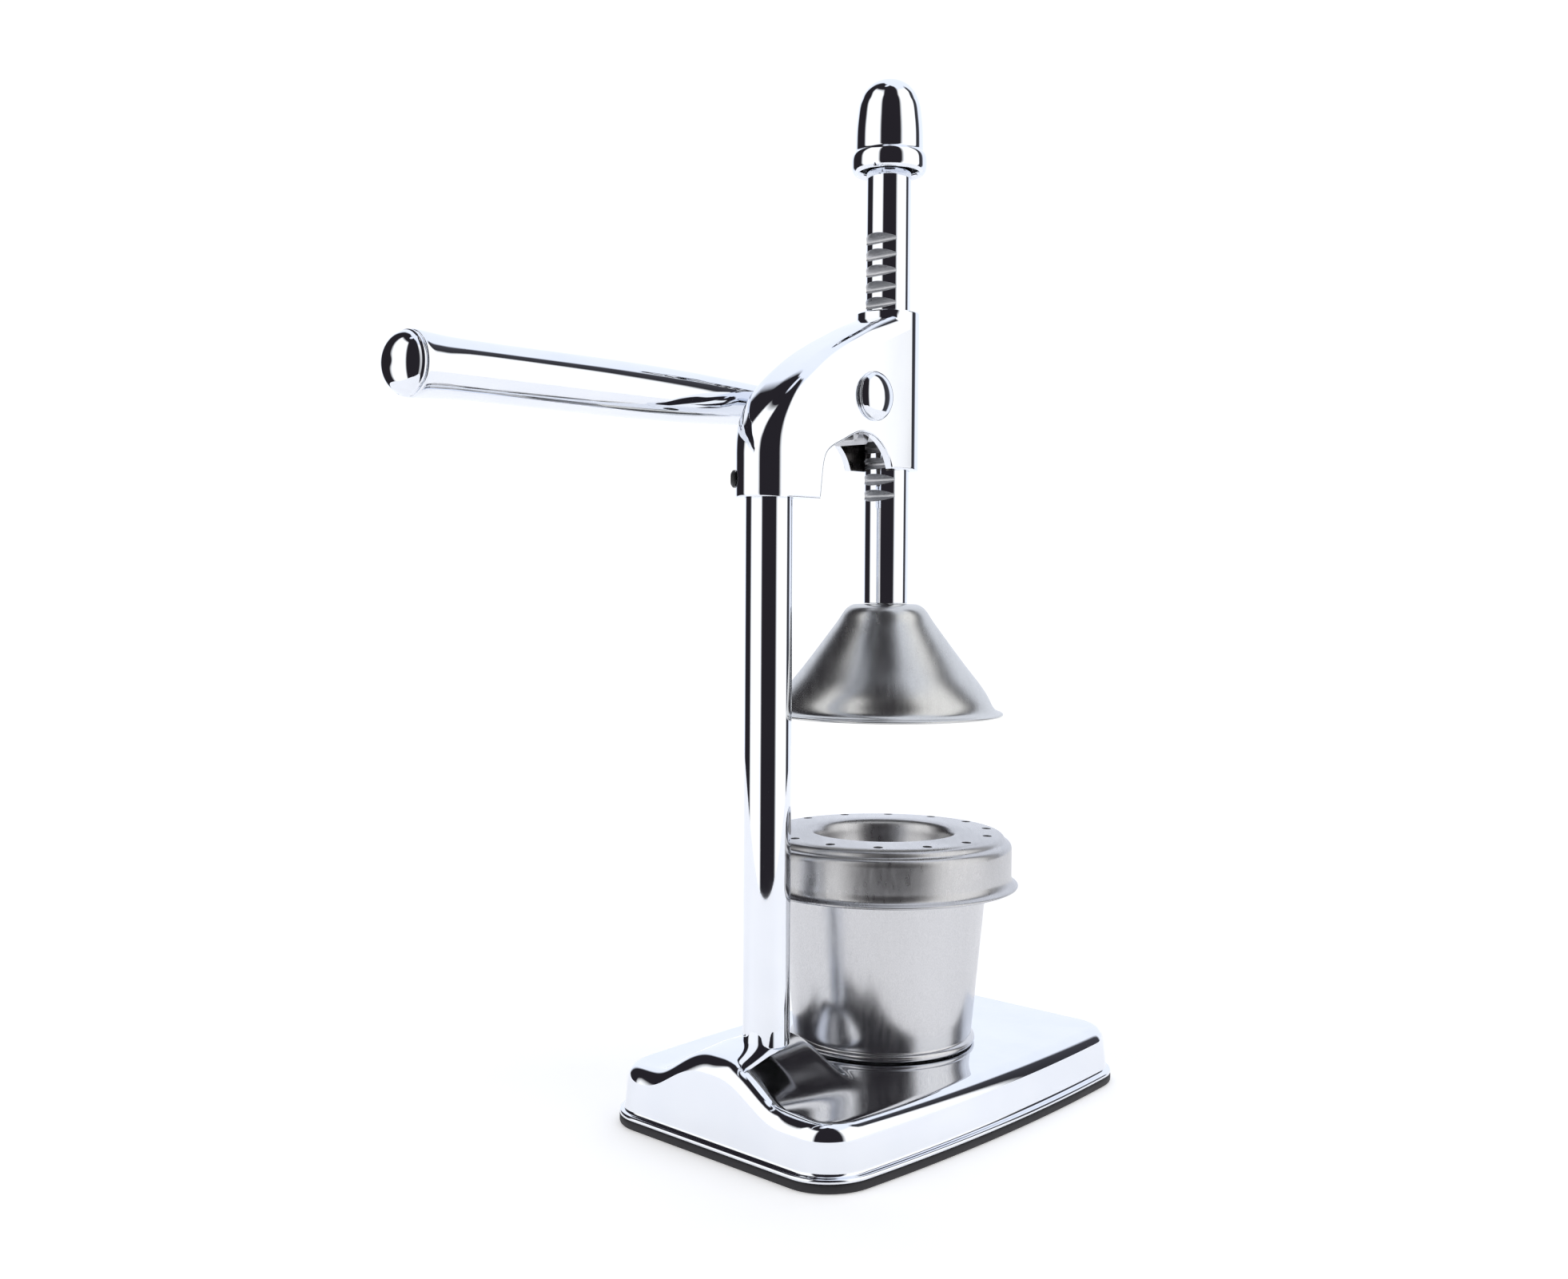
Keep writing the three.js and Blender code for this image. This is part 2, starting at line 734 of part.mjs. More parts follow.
function pressCone() {
  const inner = CONE_CURVE.map(([radius, z]) => [radius - 1.15, z - 0.75]);
  const profile = [
    [CONE_SCREW.shank + GAP, CONE_TOP - CONE_SHEET],
    ...inner.slice(0, -1),
    [42, 140.3],
    [42.9, 140.3],
    ...CONE_CURVE.slice().reverse(),
    [CONE_SCREW.shank + GAP, CONE_TOP],
    [CONE_SCREW.shank + GAP, CONE_TOP - CONE_SHEET],
  ];
  return turned(profile, FINE);
}

const coneWasherTop = CONE_TOP - CONE_SHEET - GAP;
const coneScrewSeat = coneWasherTop - WASHER_HEIGHT - GAP;

function coneWasher() {
  return ring(CONE_SCREW.shank + GAP, 8.2, coneWasherTop - WASHER_HEIGHT, coneWasherTop);
}

function coneScrew() {
  const { shank, head, height, top } = CONE_SCREW;
  const profile = [
    [0, coneScrewSeat - height],
    [head * 0.7, coneScrewSeat - height * 0.75],
    [head, coneScrewSeat - 0.8],
    [head, coneScrewSeat],
    [shank, coneScrewSeat],
    [shank, top],
    [0, top],
  ];
  return turned(profile, 24);
}

// ---- Cup and strainer -----------------------------------------------------

function cup() {
  const radiusAt = (z) => CUP.radius + (z - CUP.bottom) * CUP.taper;
  const { bottom, floor, rim, wall } = CUP;
  const profile = [
    [0, bottom + 0.6],
    [31.2, bottom + 0.6],
    [31.8, bottom],
    [33.8, bottom],
    [34.6, bottom + 1],
    [34.2, bottom + 2.2],
    [radiusAt(bottom + 3), bottom + 3],
    [radiusAt(58), 58],
    [radiusAt(93), 93],
    [40.4, 94.6],
    [41, rim - 1],
    [41, rim],
    [radiusAt(rim) - wall, rim],
    [radiusAt(58) - wall, 58],
    [radiusAt(floor + 3) - wall, floor + 3],
    [radiusAt(floor) - wall - 1, floor + 0.6],
    [29.5, floor],
    [0, floor],
  ];
  return turned(profile, FINE);
}

// Heights are given from the lid's flat top.
const LID_CURVE = [
  [6, -7.9],
  [12, -10.1],
  [16, -12.5],
  [19, -13.6],
  [21.6, -12.9],
  [23.4, -10.3],
  [24.4, -6.5],
  [25, -2.5],
  [26, -0.6],
  [27.6, 0],
  [41.2, 0],
  [42.6, -0.6],
  [43.6, -1.8],
  [44.2, -3],
  [45.6, -3.6],
  [46.45, -4.8],
  [46.45, -16.3],
  [47.2, -17.9],
  [48.9, -19],
];

function strainerLid() {
  const outer = [[0, LID.top - 7.3], ...LID_CURVE.map(([radius, z]) => [radius, LID.top + z])];
  const shell = turned(shellProfile(outer, LID.sheet), FINE);
  const holes = [];
  for (let i = 0; i < LID.rimHoles; i += 1) {
    const hole = disc(1.3, LID.top - 5, LID.top + 5, 6).translate(LID.rimHoleCircle, 0, 0);
    holes.push(hole.rotateZ((2 * Math.PI * (i + 0.5)) / LID.rimHoles));
  }
  for (const [count, circle] of [[10, 19.5], [6, 13.5]]) {
    for (let i = 0; i < count; i += 1) {
      const hole = disc(1.6, 78, 94, 6).translate(circle, 0, 0);
      holes.push(hole.rotateZ((2 * Math.PI * i) / count));
    }
  }
  return cut(shell, holes);
}

// ---- The assembly ---------------------------------------------------------

node("base_shell", baseShell(), CHROME);
node("base_mat", baseMat(), BLACK_RUBBER);
node("reinforcing_plate", reinforcingPlate(), CUT_STEEL);
node("column_bolt", columnBolt(), CUT_STEEL);
node("column_bolt_washer", columnBoltWasher(), CUT_STEEL);
node("column_tube", columnTube(), CHROME);
node("column_plug", columnPlug(), CUT_STEEL);
node("head_casting", headCasting(), CHROME);
node("head_set_screw", headSetScrew(), BLACK_PLASTIC);
node("pinion_gear", pinionGear(), CUT_STEEL);
node("pinion_shaft", pinionShaft(), CUT_STEEL);
node("shaft_washer_cap_side", shaftWasher(-washerOutside, -washerInside), CHROME);
node("shaft_washer_handle_side", shaftWasher(washerInside, washerOutside), CHROME);
node("shaft_dome_cap", shaftDomeCap(), CHROME);
node("handle_hub", handleHub(), CHROME);
node("hub_bolt", hubBolt(), CHROME);
node("hub_grub_screw", hubGrubScrew(), CUT_STEEL);
node("handle_arm", handleArm(), CUT_STEEL);
node("handle_grip", handleGrip(), CHROME);
node("handle_end_cap", handleEndCap(), CHROME);
node("rack_rod", rackRod(), CHROME);
node("rack_knob", rackKnob(), CHROME);
node("knob_insert", knobInsert(), BLACK_PLASTIC);
node("press_cone", pressCone(), SATIN_STEEL);
node("cone_washer", coneWasher(), CUT_STEEL);
node("cone_screw", coneScrew(), CUT_STEEL);
node("cup", cup(), SATIN_STEEL);
node("strainer_lid", strainerLid(), SATIN_STEEL);

const press = new THREE.Group();
press.add(...nodes);

export default press;
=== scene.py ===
import math

import bmesh
import bpy
from mathutils import Matrix, Vector


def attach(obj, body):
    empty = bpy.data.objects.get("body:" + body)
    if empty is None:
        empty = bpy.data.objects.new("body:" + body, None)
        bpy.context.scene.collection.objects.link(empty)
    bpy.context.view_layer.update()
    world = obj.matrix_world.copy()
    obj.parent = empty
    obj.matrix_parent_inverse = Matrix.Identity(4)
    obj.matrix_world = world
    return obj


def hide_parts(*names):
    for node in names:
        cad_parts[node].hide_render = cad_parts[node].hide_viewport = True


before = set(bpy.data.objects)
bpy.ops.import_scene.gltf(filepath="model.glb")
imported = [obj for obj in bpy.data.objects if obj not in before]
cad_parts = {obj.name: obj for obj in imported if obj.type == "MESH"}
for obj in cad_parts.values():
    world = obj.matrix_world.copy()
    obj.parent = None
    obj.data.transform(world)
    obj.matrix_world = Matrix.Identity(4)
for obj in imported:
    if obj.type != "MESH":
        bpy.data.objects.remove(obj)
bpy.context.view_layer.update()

MM = 0.001

# ---- Dimensions in millimetres, the same as the frame's ----------------------

BAR = 8.0  # radius of the column and of the press rod
BASE = {
    "half_width": 57.7, "front": -82.4, "back": 89.3, "corner": 17.0, "bow_y": 3.8,
    "bow_length": 296.0, "mat": 3.0, "lip": 4.6, "lip_width": 2.1, "draft": 0.9,
    "fillet": 6.0, "plateau": 20.4, "sheet": 1.2,
}
HUMP = {
    "top": 34.5, "centre": 2.5, "crest": 0.6, "flank": 36.4, "front": 52.0,
    "stretch": 1.9, "back_drop": 0.12,
}
CROWN = {"height": 1.5, "radius": 30.0, "slope": 25.0}
COLUMN_Y, COLUMN_TOP = 61.5, 236.0
HEAD = {
    "half": 11.3, "top": 285.0, "boss_round": 11.35, "guide_bottom": 228.5,
    "sleeve_bottom": 216.3, "channel_half": 8.2, "channel_front": 9.5,
    "channel_back": 46.8, "channel_top": 278.5, "slot_front": 2.0, "slot_back": 12.0,
    "channel_shoulder": 259.0, "roof": 3.6, "edge": 0.8, "shaft_bore": 5.3, "tooth_room": 2.4,
}
TEETH, MODULE = 16, 1.82
PITCH_RADIUS = TEETH * MODULE / 2
RACK_PITCH_Y = BAR - MODULE
PIVOT_Y, PIVOT_Z = RACK_PITCH_Y + PITCH_RADIUS, 252.9
PIVOT = (0, PIVOT_Y, PIVOT_Z)
RACK_PHASE = 0.8  # the groove next to the pivot is this far above it
PRESSURE_ANGLE = math.radians(20)
HANDLE_X, HANDLE_Z = 22.2, PIVOT_Z - 3.0
SET_SCREW = {"z": 222.5, "turn": -45.0, "bore": 2.7}
CONE_TOP = 180.4
LID_TOP = 98.2
RIM_HOLES = {"count": 14, "circle": 38.4, "radius": 1.7, "phase": 0.93}
CRATER_HOLES = {"radius": 1.1, "rings": ((20, 19.5), (12, 13.5), (6, 7.5))}


# ---- Mesh helpers ---------------------------------------------------------------

def smoother(value):
    t = min(max(value, 0.0), 1.0)
    return t * t * t * (t * (6 * t - 15) + 10)


def link(obj):
    bpy.context.scene.collection.objects.link(obj)
    return obj


def mesh_object(name, vertices, faces, sharp=35):
    """Vertices are in millimetres; edges sharper than the given angle stay crisp."""
    mesh = bpy.data.meshes.new(name)
    mesh.from_pydata([Vector(v) * MM for v in vertices], [], faces)
    bm = bmesh.new()
    bm.from_mesh(mesh)
    bmesh.ops.remove_doubles(bm, verts=bm.verts, dist=1e-7)
    bmesh.ops.recalc_face_normals(bm, faces=bm.faces)
    bm.to_mesh(mesh)
    bm.free()
    obj = link(bpy.data.objects.new(name, mesh))
    crisp(obj, sharp)
    return obj


def crisp(obj, sharp=35):
    obj.data.shade_smooth()
    obj.data.set_sharp_from_angle(angle=math.radians(sharp))


def run_modifier(obj, kind, **settings):
    modifier = obj.modifiers.new(kind, kind)
    for key, value in settings.items():
        setattr(modifier, key, value)
    with bpy.context.temp_override(object=obj, active_object=obj, selected_objects=[obj]):
        bpy.ops.object.modifier_apply(modifier=modifier.name)


def joined(parts):
    """Puts separate pieces into the first one's mesh."""
    bm = bmesh.new()
    for part in parts:
        bm.from_mesh(part.data)
    bm.to_mesh(parts[0].data)
    bm.free()
    for part in parts[1:]:
        bpy.data.meshes.remove(part.data)
    return parts[0]


def triangulated(obj):
    """Splits the many-sided end faces, whose outlines are hollow, before they are cut."""
    bm = bmesh.new()
    bm.from_mesh(obj.data)
    ends = [face for face in bm.faces if len(face.verts) > 4]
    bmesh.ops.triangulate(bm, faces=ends, ngon_method="EAR_CLIP")
    bm.to_mesh(obj.data)
    bm.free()


def cut(obj, cutters, sharp=35):
    for cutter in cutters:
        run_modifier(obj, "BOOLEAN", operation="DIFFERENCE", solver="EXACT", object=cutter)
        bpy.data.meshes.remove(cutter.data)
    crisp(obj, sharp)


def flatten_normals(obj):
    """Keeps the shading of large flat faces flat next to their rounded edges."""
    run_modifier(obj, "WEIGHTED_NORMAL", weight=80, keep_sharp=True)


def soften(points, limit=1e9, steps=5):
    """Rounds each inner corner of an open path; a third number is that corner's own limit."""
    path = [tuple(points[0][:2])]
    for before, corner, after in zip(points, points[1:], points[2:]):
        reach = corner[2] if len(corner) > 2 else limit
        here = Vector(corner[:2])
        ends = []
        for other in (before, after):
            away = Vector(other[:2]) - here
            ends.append(here + away.normalized() * min(away.length / 2, reach))
        if reach < 1e-6:
            path.append(tuple(here))
            continue
        for step in range(steps + 1):
            t = step / steps
            point = ends[0] * (1 - t) ** 2 + here * 2 * t * (1 - t) + ends[1] * t * t
            path.append(tuple(point))
    path.append(tuple(points[-1][:2]))
    kept = [path[0]]
    for point in path[1:]:
        if math.dist(point, kept[-1]) > 1e-4:
            kept.append(point)
    return kept


def offset_path(path, distance):
    """Moves an open path sideways, to the left of its direction."""
    moved = []
    for i, (a, b) in enumerate(path):
        before = path[max(i - 1, 0)]
        after = path[min(i + 1, len(path) - 1)]
        along = Vector((after[0] - before[0], after[1] - before[1])).normalized()
        moved.append((a - along.y * distance, b + along.x * distance))
    return moved


AXES = {
    "Z": lambda r, h, c, s: (r * c, r * s, h),
    "X": lambda r, h, c, s: (h, r * c, r * s),
    "Y": lambda r, h, c, s: (r * s, h, r * c),
}


def lathe(name, profile, at=(0, 0, 0), axis="Z", around=96, closed=False, sharp=35):
    """Turns a profile of (radius, height) round an axis through the point."""
    place = AXES[axis]
    vertices, rings = [], []
    for radius, height in profile:
        ring = []
        for i in range(1 if radius < 1e-6 else around):
            angle = 2 * math.pi * i / around
            x, y, z = place(radius, height, math.cos(angle), math.sin(angle))
            ring.append(len(vertices))
            vertices.append((x + at[0], y + at[1], z + at[2]))
        rings.append(ring)
    pairs = list(zip(rings, rings[1:]))
    if closed:
        pairs.append((rings[-1], rings[0]))
    faces = []
    for low, high in pairs:
        for i in range(around):
            j = (i + 1) % around
            if len(low) == 1 and len(high) == 1:
                break
            if len(low) == 1:
                faces.append((low[0], high[j], high[i]))
            elif len(high) == 1:
                faces.append((low[i], low[j], high[0]))
            else:
                faces.append((low[i], low[j], high[j], high[i]))
    return mesh_object(name, vertices, faces, sharp)


def prism(name, outline, low, high, axis="X"):
    """Draws a flat outline out along an axis: (y, z) points along X, (x, y) points along Z."""
    count = len(outline)
    vertices = []
    for level in (low, high):
        for a, b in outline:
            vertices.append((level, a, b) if axis == "X" else (a, b, level))
    faces = [tuple(range(count)), tuple(range(2 * count - 1, count - 1, -1))]
    for i in range(count):
        j = (i + 1) % count
        faces.append((i, j, count + j, count + i))
    return mesh_object(name, vertices, faces)


def bored(name, radius, low, high, at=(0, 0, 0), axis="Z", around=96):
    return lathe(name, [(0, low), (radius, low), (radius, high), (0, high)], at, axis, around)


def hexagon(radius, turn=0, at=(0, 0)):
    corners = []
    for i in range(6):
        angle = math.radians(60 * i + turn)
        corners.append((at[0] + radius * math.cos(angle), at[1] + radius * math.sin(angle)))
    return corners


def tube(inner, outer, low, high, edge=0.3):
    """The closed profile of a washer or tube with rounded edges."""
    corners = [(inner, low), (outer, low), (outer, high), (inner, high)]
    start = (inner, (low + high) / 2)
    return soften([start, *corners, start], edge, 4)[:-1]


# ---- Materials --------------------------------------------------------------------

def new_material(name, **sockets):
    material = bpy.data.materials.new(name)
    material.use_nodes = True
    shader = material.node_tree.nodes["Principled BSDF"]
    for key, value in sockets.items():
        shader.inputs[key.replace("_", " ")].default_value = value
    return material, material.node_tree, shader


def add(tree, kind, **settings):
    node = tree.nodes.new(kind)
    for key, value in settings.items():
        if key in node.inputs:
            node.inputs[key].default_value = value
        else:
            setattr(node, key, value)
    return node


def noise(tree, coordinates, scale, detail=3.0, roughness=0.55):
    node = add(tree, "ShaderNodeTexNoise", Scale=scale, Detail=detail, Roughness=roughness)
    tree.links.new(coordinates, node.inputs["Vector"])
    return node.outputs["Fac"]


def remap(tree, value, low, high, start=0.3, end=0.7):
    node = add(tree, "ShaderNodeMapRange")
    node.inputs["From Min"].default_value = start
    node.inputs["From Max"].default_value = end
    node.inputs["To Min"].default_value = low
    node.inputs["To Max"].default_value = high
    tree.links.new(value, node.inputs["Value"])
    return node.outputs["Result"]


def tint(tree, value, dark, light):
    ramp = add(tree, "ShaderNodeValToRGB")
    ramp.color_ramp.elements[0].position = 0.3
    ramp.color_ramp.elements[1].position = 0.7
    ramp.color_ramp.elements[0].color = (*dark, 1)
    ramp.color_ramp.elements[1].color = (*light, 1)
    tree.links.new(value, ramp.inputs["Fac"])
    return ramp.outputs["Color"]


def bump(tree, shader, layers):
    """Stacks height layers of (value, strength, distance in millimetres)."""
    normal = None
    for value, strength, distance in layers:
        node = add(tree, "ShaderNodeBump", Strength=strength, Distance=distance * MM)
        tree.links.new(value, node.inputs["Height"])
        if normal:
            tree.links.new(normal, node.inputs["Normal"])
        normal = node.outputs["Normal"]
    tree.links.new(normal, shader.inputs["Normal"])


def object_coordinates(tree):
    return add(tree, "ShaderNodeTexCoord").outputs["Object"]


def stretched(tree, coordinates, scale):
    node = add(tree, "ShaderNodeMapping")
    node.inputs["Scale"].default_value = scale
    tree.links.new(coordinates, node.inputs["Vector"])
    return node.outputs["Vector"]


def math_node(tree, operation, first, second=None):
    node = add(tree, "ShaderNodeMath", operation=operation)
    for socket, value in zip(node.inputs, (first, second)):
        if value is None:
            continue
        if isinstance(value, (int, float)):
            socket.default_value = value
        else:
            tree.links.new(value, socket)
    return node.outputs[0]


def round_axis(tree, coordinates, around=3.0, across=1.0):
    """Coordinates of (radius, turn, height) about the press axis, for brushing that runs round it."""
    parts = add(tree, "ShaderNodeSeparateXYZ")
    tree.links.new(coordinates, parts.inputs[0])
    x, y, z = parts.outputs
    squares = [math_node(tree, "MULTIPLY", side, side) for side in (x, y)]
    radius = math_node(tree, "SQRT", math_node(tree, "ADD", *squares))
    combined = add(tree, "ShaderNodeCombineXYZ")
    flat = stretched(tree, coordinates, (around, around, 0))
    split = add(tree, "ShaderNodeSeparateXYZ")
    tree.links.new(flat, split.inputs[0])
    tree.links.new(math_node(tree, "MULTIPLY", radius, across), combined.inputs[0])
    tree.links.new(math_node(tree, "ADD", split.outputs[0], split.outputs[1]), combined.inputs[1])
    tree.links.new(math_node(tree, "MULTIPLY", z, across), combined.inputs[2])
    return combined.outputs[0]


def chrome_material(name, wave, wave_scale, polish=(0.015, 0.05)):
    """Mirror chrome: polishing haze, faint specks and a very shallow waviness in the metal."""
    material, tree, shader = new_material(name, Metallic=1.0)
    coordinates = object_coordinates(tree)
    haze = noise(tree, coordinates, 60, 4)
    specks = noise(tree, coordinates, 900, 2)
    colour = tint(tree, haze, (0.80, 0.825, 0.875), (0.84, 0.86, 0.90))
    tree.links.new(colour, shader.inputs["Base Color"])
    tree.links.new(remap(tree, haze, *polish), shader.inputs["Roughness"])
    waves = noise(tree, coordinates, wave_scale, 1)
    bump(tree, shader, [(waves, wave, 1.0), (remap(tree, specks, 0, 1, 0.68, 0.78), 0.06, 0.02)])
    return material


def satin_material(name, roughness=(0.17, 0.27), dark=(0.55, 0.55, 0.56), light=(0.69, 0.685, 0.695)):
    """Stainless steel brushed round the press axis."""
    material, tree, shader = new_material(name, Metallic=1.0, Anisotropic=0.55)
    coordinates = object_coordinates(tree)
    rings = round_axis(tree, coordinates)
    brushing = noise(tree, rings, 1500, 3, 0.7)
    broad = noise(tree, rings, 130, 3)
    blotches = noise(tree, coordinates, 45, 4)
    tree.links.new(tint(tree, brushing, dark, light), shader.inputs["Base Color"])
    mixed = math_node(tree, "MULTIPLY", math_node(tree, "ADD", broad, blotches), 0.5)
    tree.links.new(remap(tree, mixed, *roughness, 0.35, 0.65), shader.inputs["Roughness"])
    tangent = add(tree, "ShaderNodeTangent", direction_type="RADIAL", axis="Z")
    tree.links.new(tangent.outputs[0], shader.inputs["Tangent"])
    bump(tree, shader, [(broad, 0.05, 0.05), (brushing, 0.10, 0.02)])
    return material


def cut_steel_material():
    material, tree, shader = new_material("cut_steel", Metallic=1.0)
    coordinates = object_coordinates(tree)
    marks = noise(tree, stretched(tree, coordinates, (1, 1, 9)), 420, 3, 0.7)
    patches = noise(tree, coordinates, 110, 4)
    tree.links.new(tint(tree, patches, (0.46, 0.47, 0.49), (0.62, 0.62, 0.64)), shader.inputs["Base Color"])
    tree.links.new(remap(tree, marks, 0.24, 0.46), shader.inputs["Roughness"])
    bump(tree, shader, [(marks, 0.25, 0.03)])
    return material


def rough_cast_painted_shade_material():
    """The unpolished inside of the casting: a rough finish, with a near-black colour that is painted shade
    in its hollows.
    """
    material, tree, shader = new_material("chrome_inside_painted_shade", Metallic=1.0)
    coordinates = object_coordinates(tree)
    skin = noise(tree, coordinates, 300, 4, 0.7)
    # The near-black colour is painted shade in the channel, guide slot and pinion pocket; the noise only
    # varies it at random.
    tree.links.new(tint(tree, skin, (0.10, 0.09, 0.085), (0.17, 0.155, 0.145)), shader.inputs["Base Color"])
    tree.links.new(remap(tree, skin, 0.22, 0.40), shader.inputs["Roughness"])
    bump(tree, shader, [(skin, 0.2, 0.08)])
    return material


def dark_material(name, dark, light, roughness, grain, depth):
    """Moulded rubber or plastic with a fine pebbled skin and dusty patches."""
    material, tree, shader = new_material(name, Metallic=0.0)
    coordinates = object_coordinates(tree)
    skin = noise(tree, coordinates, grain, 3)
    dust = noise(tree, coordinates, 70, 4)
    tree.links.new(tint(tree, dust, dark, light), shader.inputs["Base Color"])
    tree.links.new(remap(tree, dust, *roughness), shader.inputs["Roughness"])
    bump(tree, shader, [(skin, 0.35, depth)])
    return material


CHROME = chrome_material("chrome", 0.02, 18)
PRESSED = chrome_material("chrome_pressed", 0.10, 22, (0.02, 0.06))
CAST = chrome_material("chrome_cast", 0.05, 30, (0.015, 0.045))
SATIN = satin_material("satin_steel")
LID_SATIN = satin_material("satin_steel_lid", (0.25, 0.34), (0.50, 0.50, 0.505), (0.63, 0.625, 0.635))
CONE_SATIN = satin_material("satin_steel_cone", (0.22, 0.28), (0.55, 0.55, 0.545), (0.66, 0.66, 0.65))
CUT_STEEL = cut_steel_material()
ROUGH_CAST_PAINTED_SHADE = rough_cast_painted_shade_material()
RUBBER = dark_material("rubber", (0.010, 0.009, 0.012), (0.022, 0.021, 0.025), (0.5, 0.7), 1500, 0.06)
PLASTIC = dark_material(
    "black_plastic", (0.011, 0.011, 0.012), (0.02, 0.02, 0.021), (0.38, 0.52), 1200, 0.03)


def piece(obj, body, slot, material, *nodes):
    if not obj.data.materials:
        obj.data.materials.append(material)
    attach(obj, body)
    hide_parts(*nodes)
    return obj


# ---- Base ---------------------------------------------------------------------------

def footprint(inset, corner_steps=16, long_steps=72, short_steps=52):
    """The bowed, round-cornered outline of the base, moved inwards."""
    centre_y = (BASE["back"] + BASE["front"]) / 2
    half_x = BASE["half_width"] - inset
    half_y = (BASE["back"] - BASE["front"]) / 2 - inset
    corner = max(BASE["corner"] - inset, 2)
    centres = []
    for side_x, side_y in ((1, 1), (-1, 1), (-1, -1), (1, -1)):
        centres.append((side_x * (half_x - corner), side_y * (half_y - corner)))
    outline = []
    for i, (cx, cy) in enumerate(centres):
        for step in range(corner_steps + 1):
            angle = math.radians(90 * (i + step / corner_steps))
            outline.append((cx + corner * math.cos(angle), cy + corner * math.sin(angle)))
        next_x, next_y = centres[(i + 1) % 4]
        steps = long_steps if i % 2 else short_steps
        last_x, last_y = outline[-1]
        for step in range(1, steps):
            t = step / steps
            outline.append((last_x + (next_x - cx) * t, last_y + (next_y - cy) * t))
    bowed = []
    for x, y in outline:
        along = (y + centre_y - BASE["bow_y"]) / BASE["bow_length"]
        bowed.append((x * (1 - along * along), y + centre_y))
    return bowed


def top_height(x, y):
    across = max(abs(x - HUMP["centre"]) - HUMP["crest"], 0)
    ahead = max(HUMP["front"] - y, 0) * HUMP["stretch"]
    fall = smoother(math.hypot(across, ahead) / HUMP["flank"])
    crest = HUMP["top"] - max(y - COLUMN_Y - 7, 0) * HUMP["back_drop"]
    crown = CROWN["height"] * (1 - smoother((math.hypot(x, y) - CROWN["radius"]) / CROWN["slope"]))
    hump = (crest - BASE["plateau"]) * (1 - fall)
    blend = 1.5
    higher = (hump + crown + math.sqrt((hump - crown) ** 2 + blend * blend) - blend) / 2
    return BASE["plateau"] + higher


def base_skin(offset, plateau_rings, fillet_rings):
    """One skin of the pressing as rings, from its middle out over the fillet and down the wall."""
    wall_top = BASE["lip_width"] + BASE["draft"]
    centre_y = (BASE["back"] + BASE["front"]) / 2
    inner = footprint(wall_top + BASE["fillet"] + offset)
    rings = []
    for level in range(1, plateau_rings):
        scale = level / plateau_rings
        ring = []
        for x, y in inner:
            px, py = x * scale, centre_y + (y - centre_y) * scale
            ring.append((px, py, top_height(px, py) - offset))
        rings.append(ring)
    for step in range(fillet_rings + 1):
        angle = math.pi / 2 * step / fillet_rings
        inset = wall_top + BASE["fillet"] * (1 - math.sin(angle)) + offset
        drop = BASE["fillet"] * (1 - math.cos(angle)) + offset
        rings.append([(x, y, top_height(x, y) - drop) for x, y in footprint(inset)])
    top_ring = rings[-1]
    foot = footprint(BASE["lip_width"] + offset)
    foot_z = BASE["lip"] + 1.6 - offset
    for step in range(1, 9):
        t = step / 8
        ring = []
        for (x0, y0, z0), (x1, y1) in zip(top_ring, foot):
            ring.append((x0 + (x1 - x0) * t, y0 + (y1 - y0) * t, z0 + (foot_z - z0) * t))
        rings.append(ring)
    return rings


def base_pressing():
    centre_y = (BASE["back"] + BASE["front"]) / 2
    bottom = BASE["mat"] + 0.1
    rings = base_skin(0, 76, 14)
    width = BASE["lip_width"]
    lip = [
        (width - 0.05, 5.65), (width - 0.2, 5.2), (width - 0.5, 4.9), (width - 0.9, 4.75),
        (0.9, 4.7), (0.55, 4.6), (0.25, 4.4), (0.06, 4.1), (0.0, 3.8), (0.05, 3.4),
        (0.2, 3.2), (0.5, bottom), (width + BASE["sheet"], bottom),
    ]
    for inset, z in lip:
        rings.append([(x, y, z) for x, y in footprint(inset)])
    rings += base_skin(BASE["sheet"], 24, 5)[::-1]
    count = len(rings[0])
    crown = top_height(0, centre_y)
    vertices = [(0, centre_y, crown)]
    for ring in rings:
        vertices += ring
    vertices.append((0, centre_y, crown - BASE["sheet"]))
    last = len(vertices) - 1
    faces = []
    for i in range(count):
        j = (i + 1) % count
        faces.append((0, 1 + i, 1 + j))
        faces.append((last, last - count + j, last - count + i))
        for level in range(len(rings) - 1):
            a, b = 1 + level * count, 1 + (level + 1) * count
            faces.append((a + i, b + i, b + j, a + j))
    return mesh_object("base_pressing", vertices, faces, 50)


def mat_pad():
    """The rubber mat: rounded edges, and shallow grip grooves across its flat underside."""
    levels = [(0.9, 0.0), (0.4, 0.12), (0.12, 0.4), (0.0, 0.9), (0.0, 2.3), (0.15, 2.75), (0.5, 3.0)]
    rings = []
    for inset, z in levels:
        rings.append([(x, y, z) for x, y in footprint(inset, 12, 40, 30)])
    count = len(rings[0])
    vertices = [vertex for ring in rings for vertex in ring]
    faces = [tuple(range(count)), tuple(range(len(vertices) - count, len(vertices)))]
    for level in range(len(rings) - 1):
        a, b = level * count, (level + 1) * count
        for i in range(count):
            j = (i + 1) % count
            faces.append((a + i, a + j, b + j, b + i))
    mat = mesh_object("mat_pad", vertices, faces, 50)
    grooves = []
    for k in range(-6, 7):
        y = 3.5 + k * 11
        half = 44 - 4 * (abs(k) == 6)
        outline = [(-half, y - 1.2), (half, y - 1.2), (half, y + 1.2), (-half, y + 1.2)]
        grooves.append(prism("groove", outline, -1, 0.6, "Z"))
    cut(mat, [joined(grooves)], 50)
    return mat


piece(base_pressing(), "base", "chrome", PRESSED, "base_shell")
piece(mat_pad(), "base", "rubber", RUBBER, "base_mat")

column_profile = tube(BAR - 1.5, BAR, HUMP["top"] - 2, COLUMN_TOP, 0.25)
column = lathe("column", column_profile, (0, COLUMN_Y, 0), "Z", 128, True)
piece(column, "base", "chrome", CHROME, "column_tube")


# ---- Head casting ---------------------------------------------------------------------

